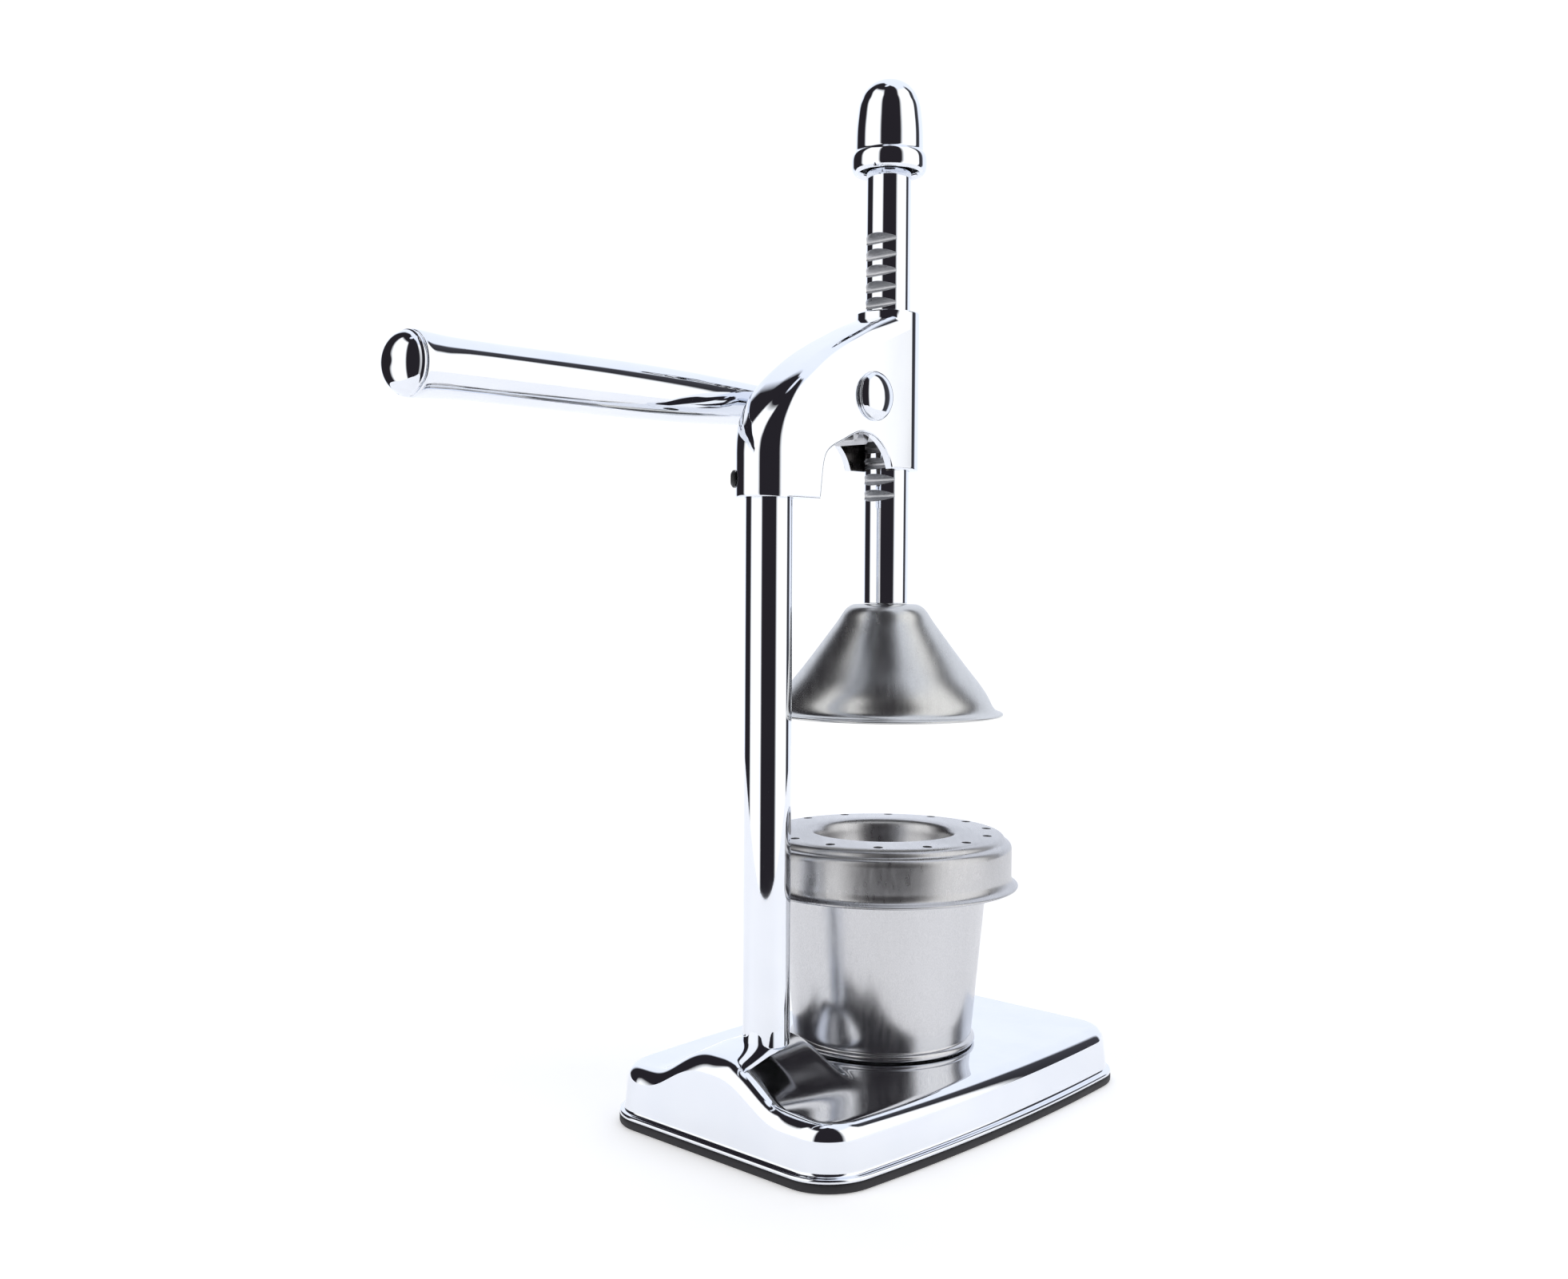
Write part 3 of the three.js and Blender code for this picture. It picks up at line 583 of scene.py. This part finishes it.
# Points up the back of the casting in pairs: where its side ends, and its ridge line.
HEAD_BACK = [
    (61.5, 216.3, 72.8, 216.3), (61.5, 222, 72.8, 222), (61.5, 228, 72.8, 228),
    (61.6, 233.5, 72.7, 232.5), (61.7, 238.5, 72.0, 237), (61.4, 243.0, 69.9, 242.4),
    (59.9, 247.2, 65.9, 248.4), (56.6, 251.6, 60.6, 254.0), (51.4, 256.3, 54.4, 259.2),
    (43.0, 260.6, 45.7, 265.5), (33.6, 264.7, 35.8, 271.0), (24.2, 268.6, 26.2, 275.6),
    (15.4, 272.3, 16.6, 279.9), (0.4, 278.6, 0.4, 286.0),
]
# How far in from each side the top's rounding starts: all of it at the sleeve, less on the arm.
HEAD_ROUND = [11.3, 11.3, 11.3, 11.2, 11, 10.5, 9.4, 8, 6.6, 5.6, 5, 4.7, 4.5, 4.5]
HEAD_ARCH = [
    (10.4, 228.5), (11.7, 231.6), (14.2, 235.1), (18, 238.1), (22.5, 239.8), (27, 240),
    (31.5, 238.7), (36.5, 236.4), (41.6, 234.2), (44.6, 232), (46.1, 229), (46.8, 225),
    (47.4, 220), (47.9, 216.3),
]


def resample(rows, per):
    """A smooth curve through rows of numbers, with several samples between neighbours."""
    result = []
    for i in range(len(rows) - 1):
        a = rows[max(i - 1, 0)]
        b, c = rows[i], rows[i + 1]
        d = rows[min(i + 2, len(rows) - 1)]
        for step in range(per):
            t = step / per
            row = []
            for p0, p1, p2, p3 in zip(a, b, c, d):
                row.append(0.5 * (2 * p1 + (p2 - p0) * t + (2 * p0 - 5 * p1 + 4 * p2 - p3) * t * t
                                  + (3 * p1 - p0 - 3 * p2 + p3) * t ** 3))
            result.append(row)
    result.append(list(rows[-1]))
    return result


def height_on(line, y):
    """The height at which a line of (y, z) points, running towards -Y, passes y."""
    for (y0, z0), (y1, z1) in zip(line, line[1:]):
        if y1 <= y <= y0:
            return z0 + (z1 - z0) * (y - y0) / (y1 - y0)
    return line[-1][1]


def head_outline(x):
    """The side outline of the casting at one x, with its edges drawn in near both cheeks."""
    half = HEAD["half"]
    roundness = math.sqrt(max(1 - (x / half) ** 2, 0))
    into = max(abs(x) - half + HEAD["edge"], 0)
    inset = HEAD["edge"] - math.sqrt(max(HEAD["edge"] ** 2 - into * into, 0))
    back = []
    rows = [(*pair, reach) for pair, reach in zip(HEAD_BACK, HEAD_ROUND)]
    for cheek_y, cheek_z, ridge_y, ridge_z, reach in resample(rows, 7):
        side = max(abs(x) - half + reach, 0) / reach
        corner = math.sqrt(max(1 - side * side, 0))
        f = 0.82 * corner + 0.18 * roundness
        back.append((cheek_y + (ridge_y - cheek_y) * f, cheek_z + (ridge_z - cheek_z) * f))
    front_y = -half * roundness
    top, guide, bottom = HEAD["top"], HEAD["guide_bottom"], HEAD["sleeve_bottom"]
    back[0] = (back[0][0] - 0.35, bottom + inset)
    boss_y = math.sqrt(HEAD["boss_round"] ** 2 - x * x)
    tail = 16
    start_y = back[-1 - tail][0]
    landing = [start_y + (boss_y - start_y) * (i + 1) / tail for i in range(tail)]
    back[-tail:] = [(y, height_on(back, y)) for y in landing]
    boss = [(boss_y, top - 0.45), (boss_y - 0.45, top)]
    crown = [(front_y + 0.45, top), (front_y + 0.13, top - 0.13), (front_y, top - 0.45)]
    foot = guide + inset
    front = [(front_y, foot + 0.6), (front_y + 0.17, foot + 0.17), (front_y + 0.6, foot)]
    arch = resample(HEAD_ARCH, 5)
    drawn = [(6, foot)]
    for i, (y, z) in enumerate(arch):
        before, after = arch[max(i - 1, 0)], arch[min(i + 1, len(arch) - 1)]
        along = Vector((after[0] - before[0], after[1] - before[1])).normalized()
        lowest = (guide if y < 25 else bottom) + inset
        drawn.append((y - along.y * inset, max(z + along.x * inset, lowest)))
    drawn.append((52, bottom + inset))
    boss = [(y, z - inset * 0.6) for y, z in boss]
    crown = [(y, z - inset * 0.6) for y, z in crown]
    return back + boss + crown + front + drawn


def on_sleeve(obj):
    """Moves a piece made along Y from the origin to the set screw's place on the sleeve."""
    obj.data.transform(Matrix.Rotation(math.radians(SET_SCREW["turn"]), 4, "Z"))
    obj.data.transform(Matrix.Translation(Vector((0, COLUMN_Y, SET_SCREW["z"])) * MM))
    return obj


def head_casting():
    half = HEAD["half"]
    steps = 56
    outlines = []
    for i in range(steps + 1):
        x = half * math.sin(math.pi * (i / steps - 0.5))
        outlines.append((x, head_outline(x * (1 - 1e-7))))
    count = len(outlines[0][1])
    vertices = [(x, y, z) for x, outline in outlines for y, z in outline]
    faces = [tuple(range(count)), tuple(range(steps * count, (steps + 1) * count))]
    for level in range(steps):
        a, b = level * count, (level + 1) * count
        for i in range(count):
            j = (i + 1) % count
            faces.append((a + i, a + j, b + j, b + i))
    head = mesh_object("head", vertices, faces)
    triangulated(head)
    ridge = [(row[2], row[3] - HEAD["roof"]) for row in HEAD_BACK[::-1]]
    roof = [(y, z) for y, z in ridge if HEAD["channel_front"] < y < HEAD["channel_back"]]
    low = HEAD["sleeve_bottom"] - 5
    channel = [(HEAD["channel_front"], low), (HEAD["channel_front"], HEAD["channel_top"]), *roof]
    channel += [(HEAD["channel_back"], HEAD["channel_shoulder"]), (HEAD["channel_back"], low)]
    bore = BAR + 0.15
    span = half + 5
    wide = HEAD["channel_half"]
    pocket = PITCH_RADIUS + HEAD["tooth_room"]
    front, back = HEAD["slot_front"], HEAD["slot_back"]
    slot = [(front, low), (front, PIVOT_Z), (back, PIVOT_Z), (back, low)]
    hollows = [
        prism("channel", channel, -wide, wide),
        prism("guide_slot", slot, 0.1 - wide, wide - 0.1),
        bored("pocket", pocket, 0.05 - wide, wide - 0.05, PIVOT, "X"),
    ]
    for obj in [head, *hollows]:
        obj.data.materials.append(CAST)
        obj.data.materials.append(ROUGH_CAST_PAINTED_SHADE)
    # The hollows' walls get the second material, whose near-black colour is painted shade.
    for hollow in hollows:
        hollow.data.polygons.foreach_set("material_index", [1] * len(hollow.data.polygons))
    cut(head, [
        *hollows,
        bored("rod_bore", bore, HEAD["guide_bottom"] - 5, HEAD["top"] + 5, (0, 0, 0)),
        bored("socket", bore, HEAD["sleeve_bottom"] - 5, COLUMN_TOP + 0.3, (0, COLUMN_Y, 0)),
        bored("shaft_bore", HEAD["shaft_bore"], -span, span, PIVOT, "X", 64),
        on_sleeve(bored("screw_bore", SET_SCREW["bore"], 0, 20, axis="Y", around=48)),
    ], 40)
    flatten_normals(head)
    return head


piece(head_casting(), "base", "chrome", CAST, "head_casting")


def socket_screw():
    face = HEAD["half"] + 0.05
    profile = [
        (0, 8.3), (2.4, 8.3, 0.1), (2.4, face, 0.05), (3.0, face, 0.2),
        (2.95, face + 0.8, 0.6), (1.8, face + 1.55, 0.6), (0, face + 1.6),
    ]
    screw = lathe("socket_screw", soften(profile), axis="Y", around=48)
    key = prism("key", hexagon(1.25), face + 0.4, face + 3, "Z")
    key.data.transform(Matrix.Rotation(-math.pi / 2, 4, "X"))
    cut(screw, [key])
    return on_sleeve(screw)


piece(socket_screw(), "base", "black_plastic", PLASTIC, "head_set_screw")


# ---- Pinion, shaft ends and handle --------------------------------------------------------

def involute(angle):
    return math.tan(angle) - angle


def half_tooth(radius):
    base_radius = PITCH_RADIUS * math.cos(PRESSURE_ANGLE)
    angle = math.acos(min(base_radius / radius, 1))
    at_pitch = math.pi / (2 * TEETH) - 0.3 / (2 * PITCH_RADIUS)
    return at_pitch + involute(PRESSURE_ANGLE) - involute(angle)


def pinion():
    root, tip = PITCH_RADIUS - 1.25 * MODULE, PITCH_RADIUS + MODULE
    radii = [root, root + 0.25, root + 0.7]
    radii += [root + 0.7 + (tip - root - 0.7) * k / 7 for k in range(1, 8)]
    flare = [0.16, 0.07, 0.02] + [0] * 7
    outline = []
    for tooth in range(TEETH):
        centre = math.pi - RACK_PHASE / PITCH_RADIUS + 2 * math.pi * tooth / TEETH
        side = [(r, half_tooth(r) + extra * 0.25) for r, extra in zip(radii, flare)]
        outline += [(r, centre - a) for r, a in side]
        outline += [(r, centre + a) for r, a in reversed(side)]
    count = len(outline)
    vertices = []
    for x, inset in ((-7, 0.5), (-6.5, 0), (6.5, 0), (7, 0.5)):
        for r, angle in outline:
            radius = min(r, tip - inset)
            vertices.append((x, PIVOT_Y + radius * math.cos(angle), PIVOT_Z + radius * math.sin(angle)))
    faces = [tuple(range(count)), tuple(range(3 * count, 4 * count))]
    for level in range(3):
        a, b = level * count, (level + 1) * count
        for i in range(count):
            j = (i + 1) % count
            faces.append((a + i, a + j, b + j, b + i))
    gear = mesh_object("pinion", vertices, faces, 30)
    cut(gear, [bored("bore", 5.02, -10, 10, PIVOT, "X", 64)], 30)
    return gear


piece(pinion(), "lever", "cut_steel", CUT_STEEL, "pinion_gear")

washer_in, washer_out = HEAD["half"] + 0.1, HEAD["half"] + 0.8
for side, name, node in ((-1, "washer_cap_side", "shaft_washer_cap_side"),
                         (1, "washer_handle_side", "shaft_washer_handle_side")):
    ends = sorted((side * washer_in, side * washer_out))
    washer = lathe(name, tube(5.2, 8.6, *ends, 0.2), PIVOT, "X", 96, True)
    piece(washer, "lever", "chrome", CHROME, node)

seat = -washer_out - 0.1
dome_profile = [(0, seat), (8.2, seat, 0.1), (8.35, seat - 0.3, 0.15), (8.2, seat - 0.6, 0.15)]
for step in range(1, 10):
    rise = math.radians(8 + 82 * step / 9)
    radius = 8.0 * math.cos(rise) / math.cos(math.radians(8))
    dome_profile.append((radius, seat - 0.2 - 3.3 * math.sin(rise)))
dome = lathe("dome_cap", soften(dome_profile, 2, 4), PIVOT, "X", 96)
piece(dome, "lever", "chrome", CHROME, "shaft_dome_cap")

hub_start = washer_out + 0.3
hub_profile = [
    (0, hub_start), (9.6, hub_start, 0.3), (11, hub_start + 1.4, 0.8), (11, 26.5, 2.5),
    (9.4, 29.3, 1.2), (7.2, 30, 0.5), (6.7, 29.6, 0.3), (0, 29.6),
]
hub = lathe("hub", soften(hub_profile, 1, 6), PIVOT, "X", 96)
cut(hub, [bored("grub_hole", 2.3, -20, -6, (HANDLE_X - 1.6, PIVOT_Y, PIVOT_Z), "Z", 32)])
piece(hub, "lever", "chrome", CHROME, "handle_hub")

bolt_profile = [
    (0, 29.6), (6.3, 29.6, 0.2), (6.5, 30.2, 0.3), (6.4, 31.2, 0.6), (5, 32.9, 1.6),
    (2.6, 33.5, 1), (0, 33.6),
]
bolt = lathe("hub_bolt_head", soften(bolt_profile, 1, 6), PIVOT, "X", 96)
cut(bolt, [prism("key", hexagon(2.3, 30, (PIVOT_Y, PIVOT_Z)), 31.6, 36)])
piece(bolt, "lever", "chrome", CHROME, "hub_bolt")

# Where the grip and its cap end; both profiles run along the handle from its middle at the hub.
GRIP_END, HANDLE_TIP = 166.0, 172.6
handle_at = (HANDLE_X, PIVOT_Y, HANDLE_Z)
grip_profile = [
    (0, 11), (5.4, 11, 0.4), (6.1, 11.8, 0.6), (6.9, 22), (7.5, 34), (8.0, 45), (8.5, 58),
    (8.85, 75), (9.0, 92), (8.95, 108), (8.85, 124), (8.8, 138), (8.85, 148), (9.05, 155),
    (9.55, 161.5), (9.85, 165.2), (9.6, GRIP_END, 0.3), (9.0, GRIP_END + 0.1, 0.2),
    (8.9, GRIP_END - 0.5, 0.2), (0, GRIP_END - 0.5),
]
grip = lathe("grip", soften(grip_profile, 1e9, 6), handle_at, "Y", 128)
piece(grip, "lever", "chrome", CHROME, "handle_grip")

tip_profile = [
    (0, GRIP_END - 0.4), (8.85, GRIP_END - 0.4, 0.1), (9.0, GRIP_END + 0.3, 0.1),
    (9.6, GRIP_END + 0.4, 0.2), (9.65, GRIP_END + 1.1, 0.3), (9.2, GRIP_END + 1.5, 0.3),
    (8.7, GRIP_END + 2.9), (7.4, GRIP_END + 4.6), (5.2, GRIP_END + 6.0),
    (2.4, HANDLE_TIP + 0.1), (0, HANDLE_TIP + 0.1),
]
tip = lathe("grip_end", soften(tip_profile, 1e9, 6), handle_at, "Y", 128)
piece(tip, "lever", "chrome", CHROME, "handle_end_cap")


# ---- Press rod and knob ---------------------------------------------------------------------

def rack_rod():
    rod_profile = soften([(0, 180.7), (BAR, 180.7, 0.3), (BAR, 346, 0.6), (0, 346)], 0.3, 3)
    rod = lathe("rod", rod_profile, (0, 0, 0), "Z", 128)
    slope = math.tan(PRESSURE_ANGLE)
    root = RACK_PITCH_Y - 1.25 * MODULE
    half = math.pi * MODULE / 4
    vertices, faces = [], []
    for k in range(-6, 11):
        z = PIVOT_Z + RACK_PHASE + k * math.pi * MODULE
        wide_root = half + (root - RACK_PITCH_Y) * slope
        wide_mouth = half + (BAR + 1 - RACK_PITCH_Y) * slope
        corners = [
            (BAR + 1, z - wide_mouth), (root + 0.3, z - wide_root - 0.1),
            (root, z - wide_root + 0.3), (root, z + wide_root - 0.3),
            (root + 0.3, z + wide_root + 0.1), (BAR + 1, z + wide_mouth),
        ]
        first = len(vertices)
        for x in (-BAR - 1, BAR + 1):
            vertices += [(x, y, height) for y, height in corners]
        faces.append(tuple(first + i for i in range(6)))
        faces.append(tuple(first + 11 - i for i in range(6)))
        for i in range(6):
            j = (i + 1) % 6
            faces.append((first + i, first + j, first + 6 + j, first + 6 + i))
    cut(rod, [mesh_object("grooves", vertices, faces)], 30)
    rod.data.materials.append(CHROME)
    rod.data.materials.append(CUT_STEEL)
    for polygon in rod.data.polygons:
        x, y, z = polygon.center
        if math.hypot(x, y) < (BAR - 0.05) * MM and 0.2 < z < 0.34:
            polygon.material_index = 1
    return rod


piece(rack_rod(), "press", "chrome", CHROME, "rack_rod")

knob_profile = [
    (0, 349.8), (9, 349.8, 0.5), (10.2, 348, 1), (10.2, 336.4, 0.6), (11.2, 335.1, 0.5),
    (12.3, 334.9, 0.5), (13.3, 336.1), (13.5, 337.8), (13.5, 340.2), (13.05, 341.7),
    (12.2, 342.5, 0.5), (12.15, 344), (12.05, 350.5), (11.55, 355.6), (11.1, 358.9), (10.45, 360.9),
    (9.7, 362.9), (8.6, 364.6), (6.9, 366.4), (4.4, 367.8), (1.6, 368.35), (0, 368.35),
]
knob = lathe("knob", soften(knob_profile, 1e9, 6), (0, 0, 0), "Z", 128)
piece(knob, "press", "chrome", CHROME, "rack_knob")

insert = lathe("knob_liner", tube(BAR + 0.1, 10.1, 340.9, 346, 0.4), (0, 0, 0), "Z", 96, True)
piece(insert, "press", "black_plastic", PLASTIC, "knob_insert")


# ---- Press cone ---------------------------------------------------------------------------------

cone_curve = soften([
    (3.3, CONE_TOP), (11.4, CONE_TOP, 1.0), (13.4, 179.5, 1.4), (15, 177.9, 2), (16.8, 174.9),
    (18.9, 172), (22, 167.8), (25.4, 163.2), (29.7, 157.5), (34.4, 151.7), (37.4, 147.2),
    (38.9, 143.8, 2), (40.4, 142.0, 1.2), (42.6, 141.3, 0.4), (42.9, 140.9, 0.2), (42.6, 140.4, 0.2),
    (41.9, 140.6),
], 1e9, 4)
outer_run = [point for point in cone_curve if point[1] > 141.2]
cone_inner = offset_path(outer_run, -0.9)[::-1]
cone_inner[-1] = (3.3, CONE_TOP - 0.9)
cone = lathe("cone", cone_curve + cone_inner, (0, 0, 0), "Z", 160, True)
piece(cone, "press", "satin_steel", CONE_SATIN, "press_cone")

cone_washer = lathe("cone_washer_ring", tube(3.2, 8.2, 177.75, 179.05, 0.25), (0, 0, 0), "Z", 64, True)
piece(cone_washer, "press", "cut_steel", CUT_STEEL, "cone_washer")

screw_profile = [
    (0, 174.05), (2.4, 174.1, 1), (4.6, 174.9, 1.4), (5.55, 176.6, 0.4), (5.5, 177.45, 0.2),
    (3, 177.45, 0.1), (3, 195.6, 0.4), (0, 195.6),
]
cone_screw = lathe("cone_screw_piece", soften(screw_profile, 1, 4), (0, 0, 0), "Z", 64)
slots = []
for length, width in ((4, 0.6), (0.6, 4)):
    outline = [(-length, -width), (length, -width), (length, width), (-length, width)]
    slots.append(prism("slot", outline, 172, 175.4, "Z"))
cut(cone_screw, slots)
piece(cone_screw, "press", "cut_steel", CUT_STEEL, "cone_screw")


# ---- Cup and strainer lid --------------------------------------------------------------------------

def cup():
    def radius(z):
        return 32.2 + (z - 22) * 0.093

    wall = 1.0
    profile = [
        (0, 22.6), (30.8, 22.6, 0.4), (31.4, 22.0, 0.4), (33.3, 22.0, 0.3), (33.8, 22.5, 0.4),
        (33.7, 23.8, 0.6), (radius(25) - 0.1, 24.7, 0.5), (radius(26), 26.0), (radius(58), 58, 4),
        (radius(92), 92, 1), (radius(93) + 1.0, 94.4, 0.8), (40.8, 95.5, 0.4), (41.0, 96.4, 0.3),
        (40.7, 96.9, 0.3), (radius(96) - wall + 0.4, 96.9, 0.5), (radius(94) - wall, 95, 1),
        (radius(58) - wall, 58, 4), (radius(27) - wall, 27, 2), (radius(24) - wall - 1.5, 23.6, 2),
        (20, 23.5), (0, 23.5),
    ]
    return lathe("cup_piece", soften(profile, 1.0, 5), (0, 0, 0), "Z", 192)


def strainer_lid():
    shape = [
        (0, -7.3), (6, -7.9), (12, -10.1), (16, -12.4), (19, -13.5), (21.7, -12.8), (23.5, -10.2),
        (24.5, -6.5), (25.1, -2.6), (26, -0.7), (27.8, 0, 1.4), (30.5, -0.02), (41.0, -0.4, 1.2),
        (42.6, -0.8, 1), (43.7, -1.8, 1), (44.2, -3.1, 0.7), (45.5, -3.55, 0.8), (46.5, -4.9, 1.2),
        (46.5, -16.3, 1.2), (47.1, -17.7, 0.8), (48.6, -18.7, 0.6), (49.0, -19.1, 0.3),
        (48.7, -19.7, 0.35), (47.9, -19.75, 0.3), (47.6, -19.4),
    ]
    outer = soften([(r, LID_TOP + z, *rest) for r, z, *rest in shape], 1e9, 5)
    run = [point for point in outer if point[1] > LID_TOP - 18.6]
    inner = offset_path(run, -0.85)[::-1]
    inner[-1] = (0, inner[-1][1])
    lid = lathe("strainer", outer + inner, (0, 0, 0), "Z", 192)
    holes = []
    rim = RIM_HOLES["circle"]
    for i in range(RIM_HOLES["count"]):
        turn = 2 * math.pi * (i + RIM_HOLES["phase"]) / RIM_HOLES["count"]
        place = (rim * math.cos(turn), rim * math.sin(turn))
        holes.append((*place, RIM_HOLES["radius"], LID_TOP - 5, LID_TOP + 5))
    for count, circle in CRATER_HOLES["rings"]:
        for i in range(count):
            turn = 2 * math.pi * i / count
            place = (circle * math.cos(turn), circle * math.sin(turn))
            holes.append((*place, CRATER_HOLES["radius"], 78, 94))
    cutters = [bored("hole", radius, low, high, (x, y, 0), "Z", 16) for x, y, radius, low, high in holes]
    cut(lid, [joined(cutters)], 40)
    return lid


piece(cup(), "cup", "satin_steel", SATIN, "cup")
piece(strainer_lid(), "lid", "satin_steel", LID_SATIN, "strainer_lid")


# ---- Finishes of the frame's own pieces that stay --------------------------------------------------

KEPT = {
    "reinforcing_plate": CUT_STEEL, "column_bolt": CUT_STEEL, "column_bolt_washer": CUT_STEEL,
    "column_plug": CUT_STEEL, "pinion_shaft": CUT_STEEL, "hub_grub_screw": CUT_STEEL,
    "handle_arm": CUT_STEEL,
}
for name, material in KEPT.items():
    for material_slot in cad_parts[name].material_slots:
        material_slot.material = material


# ---- Floor, light and camera -------------------------------------------------------------------------

TOWARD_CAMERA = Vector((-0.6837, 0.7298, 0))
TO_THE_RIGHT = Vector((-0.7298, -0.6837, 0))
# The radius and the gap under the mat are in metres, the distance behind the press in millimetres.
FLOOR = {
    "behind": 450, "radius": 0.80, "gap": 0.0002, "colour": (0.93, 0.93, 0.94, 1), "glow": 0.46,
}
# How bright the studio is to the metal, and how much less the camera sees of it.
STUDIO_STRENGTH, CAMERA_DIMMING = 1.25, 0.2


def floor_sheet():
    """A plain pale table top, most of it behind the press as the camera sees it."""
    centre = TOWARD_CAMERA * -FLOOR["behind"]
    bm = bmesh.new()
    bmesh.ops.create_circle(bm, cap_ends=True, segments=128, radius=FLOOR["radius"])
    mesh = bpy.data.meshes.new("floor")
    bm.to_mesh(mesh)
    bm.free()
    floor = link(bpy.data.objects.new("floor", mesh))
    floor.location = (centre.x * MM, centre.y * MM, -FLOOR["gap"])
    material, tree, shader = new_material("floor", Roughness=0.9)
    shader.inputs["Base Color"].default_value = FLOOR["colour"]
    shader.inputs["Emission Color"].default_value = (1, 1, 1, 1)
    shader.inputs["Emission Strength"].default_value = FLOOR["glow"]
    floor.data.materials.append(material)


def band_ramp(tree, value, stops):
    """A ramp over the turn from the camera's direction, in degrees to the right."""
    ramp = add(tree, "ShaderNodeValToRGB")
    elements = ramp.color_ramp.elements
    while len(elements) < len(stops):
        elements.new(0.5)
    for element, (degrees, colour) in zip(elements, stops):
        element.position = (degrees + 180) / 360
        element.color = (*colour, 1)
    tree.links.new(value, ramp.inputs["Fac"])
    return ramp.outputs["Color"]


def mix_colour(tree, factor, first, second):
    node = add(tree, "ShaderNodeMix", data_type="RGBA")
    tree.links.new(factor, node.inputs["Factor"])
    for socket, value in ((node.inputs[6], first), (node.inputs[7], second)):
        if isinstance(value, tuple):
            socket.default_value = (*value, 1)
        else:
            tree.links.new(value, socket)
    return node.outputs[2]


def studio_world():
    """A white tent with open gaps: pale behind the press, bright panels beside the camera."""
    world = bpy.data.worlds.new("studio")
    bpy.context.scene.world = world
    world.use_nodes = True
    tree = world.node_tree
    background = tree.nodes["Background"]
    direction = add(tree, "ShaderNodeTexCoord").outputs["Generated"]

    def along(vector):
        node = add(tree, "ShaderNodeVectorMath", operation="DOT_PRODUCT")
        tree.links.new(direction, node.inputs[0])
        node.inputs[1].default_value = vector
        return node.outputs["Value"]

    turn = math_node(tree, "ARCTAN2", along(TO_THE_RIGHT), along(TOWARD_CAMERA))
    share = math_node(tree, "ADD", math_node(tree, "DIVIDE", turn, 2 * math.pi), 0.5)
    climb = math_node(tree, "ARCSINE", along(Vector((0, 0, 1))))
    height = math_node(tree, "MULTIPLY", climb, 180 / math.pi)
    pale = (0.80, 0.84, 0.93)
    gap = (0.018, 0.016, 0.020)
    panel = (1.0, 1.0, 1.0)
    low = band_ramp(tree, share, [
        (-180, pale), (-150, pale), (-141, gap), (-98, gap), (-90, panel), (-38, panel),
        (-31, gap), (34, gap), (43, panel), (98, panel), (101, (0.03, 0.03, 0.035)),
        (117, (0.05, 0.05, 0.06)), (123, pale), (180, pale),
    ])
    high = band_ramp(tree, share, [
        (-180, pale), (-150, pale), (-138, gap), (34, gap), (46, pale), (180, pale),
    ])
    # The low bands give way to the high ones over 54 to 61 degrees up; a pale roof with a wavy
    # edge covers what is higher than about 80.
    wave = math_node(tree, "COSINE", math_node(tree, "MULTIPLY", turn, 3.6))
    roof_edge = math_node(tree, "SUBTRACT", height, math_node(tree, "MULTIPLY", wave, 5))
    colour = mix_colour(tree, remap(tree, height, 0, 1, 54, 61), low, high)
    colour = mix_colour(tree, remap(tree, roof_edge, 0, 1, 78, 82), colour, pale)
    path = add(tree, "ShaderNodeLightPath")
    colour = mix_colour(tree, path.outputs["Is Camera Ray"], colour, (1, 1, 1))
    tree.links.new(colour, background.inputs["Color"])
    dimming = math_node(tree, "MULTIPLY", path.outputs["Is Camera Ray"], CAMERA_DIMMING)
    strength = math_node(tree, "SUBTRACT", STUDIO_STRENGTH, dimming)
    tree.links.new(strength, background.inputs["Strength"])


def studio_camera():
    camera = bpy.data.cameras.new("camera")
    camera.lens = 35.822
    camera.sensor_width = 36
    camera.clip_start = 0.01
    view = link(bpy.data.objects.new("camera", camera))
    right = Vector((-0.72964, -0.68380, 0.00608))
    up = Vector((0.03025, -0.02339, 0.99927))
    back = Vector((-0.68316, 0.72929, 0.03775))
    turn = Matrix((right, up, back)).transposed()
    view.matrix_world = Matrix.Translation((-0.36103, 0.43922, 0.18871)) @ turn.to_4x4()
    bpy.context.scene.camera = view
    bpy.context.scene.view_settings.view_transform = "Standard"


floor_sheet()
studio_world()
studio_camera()
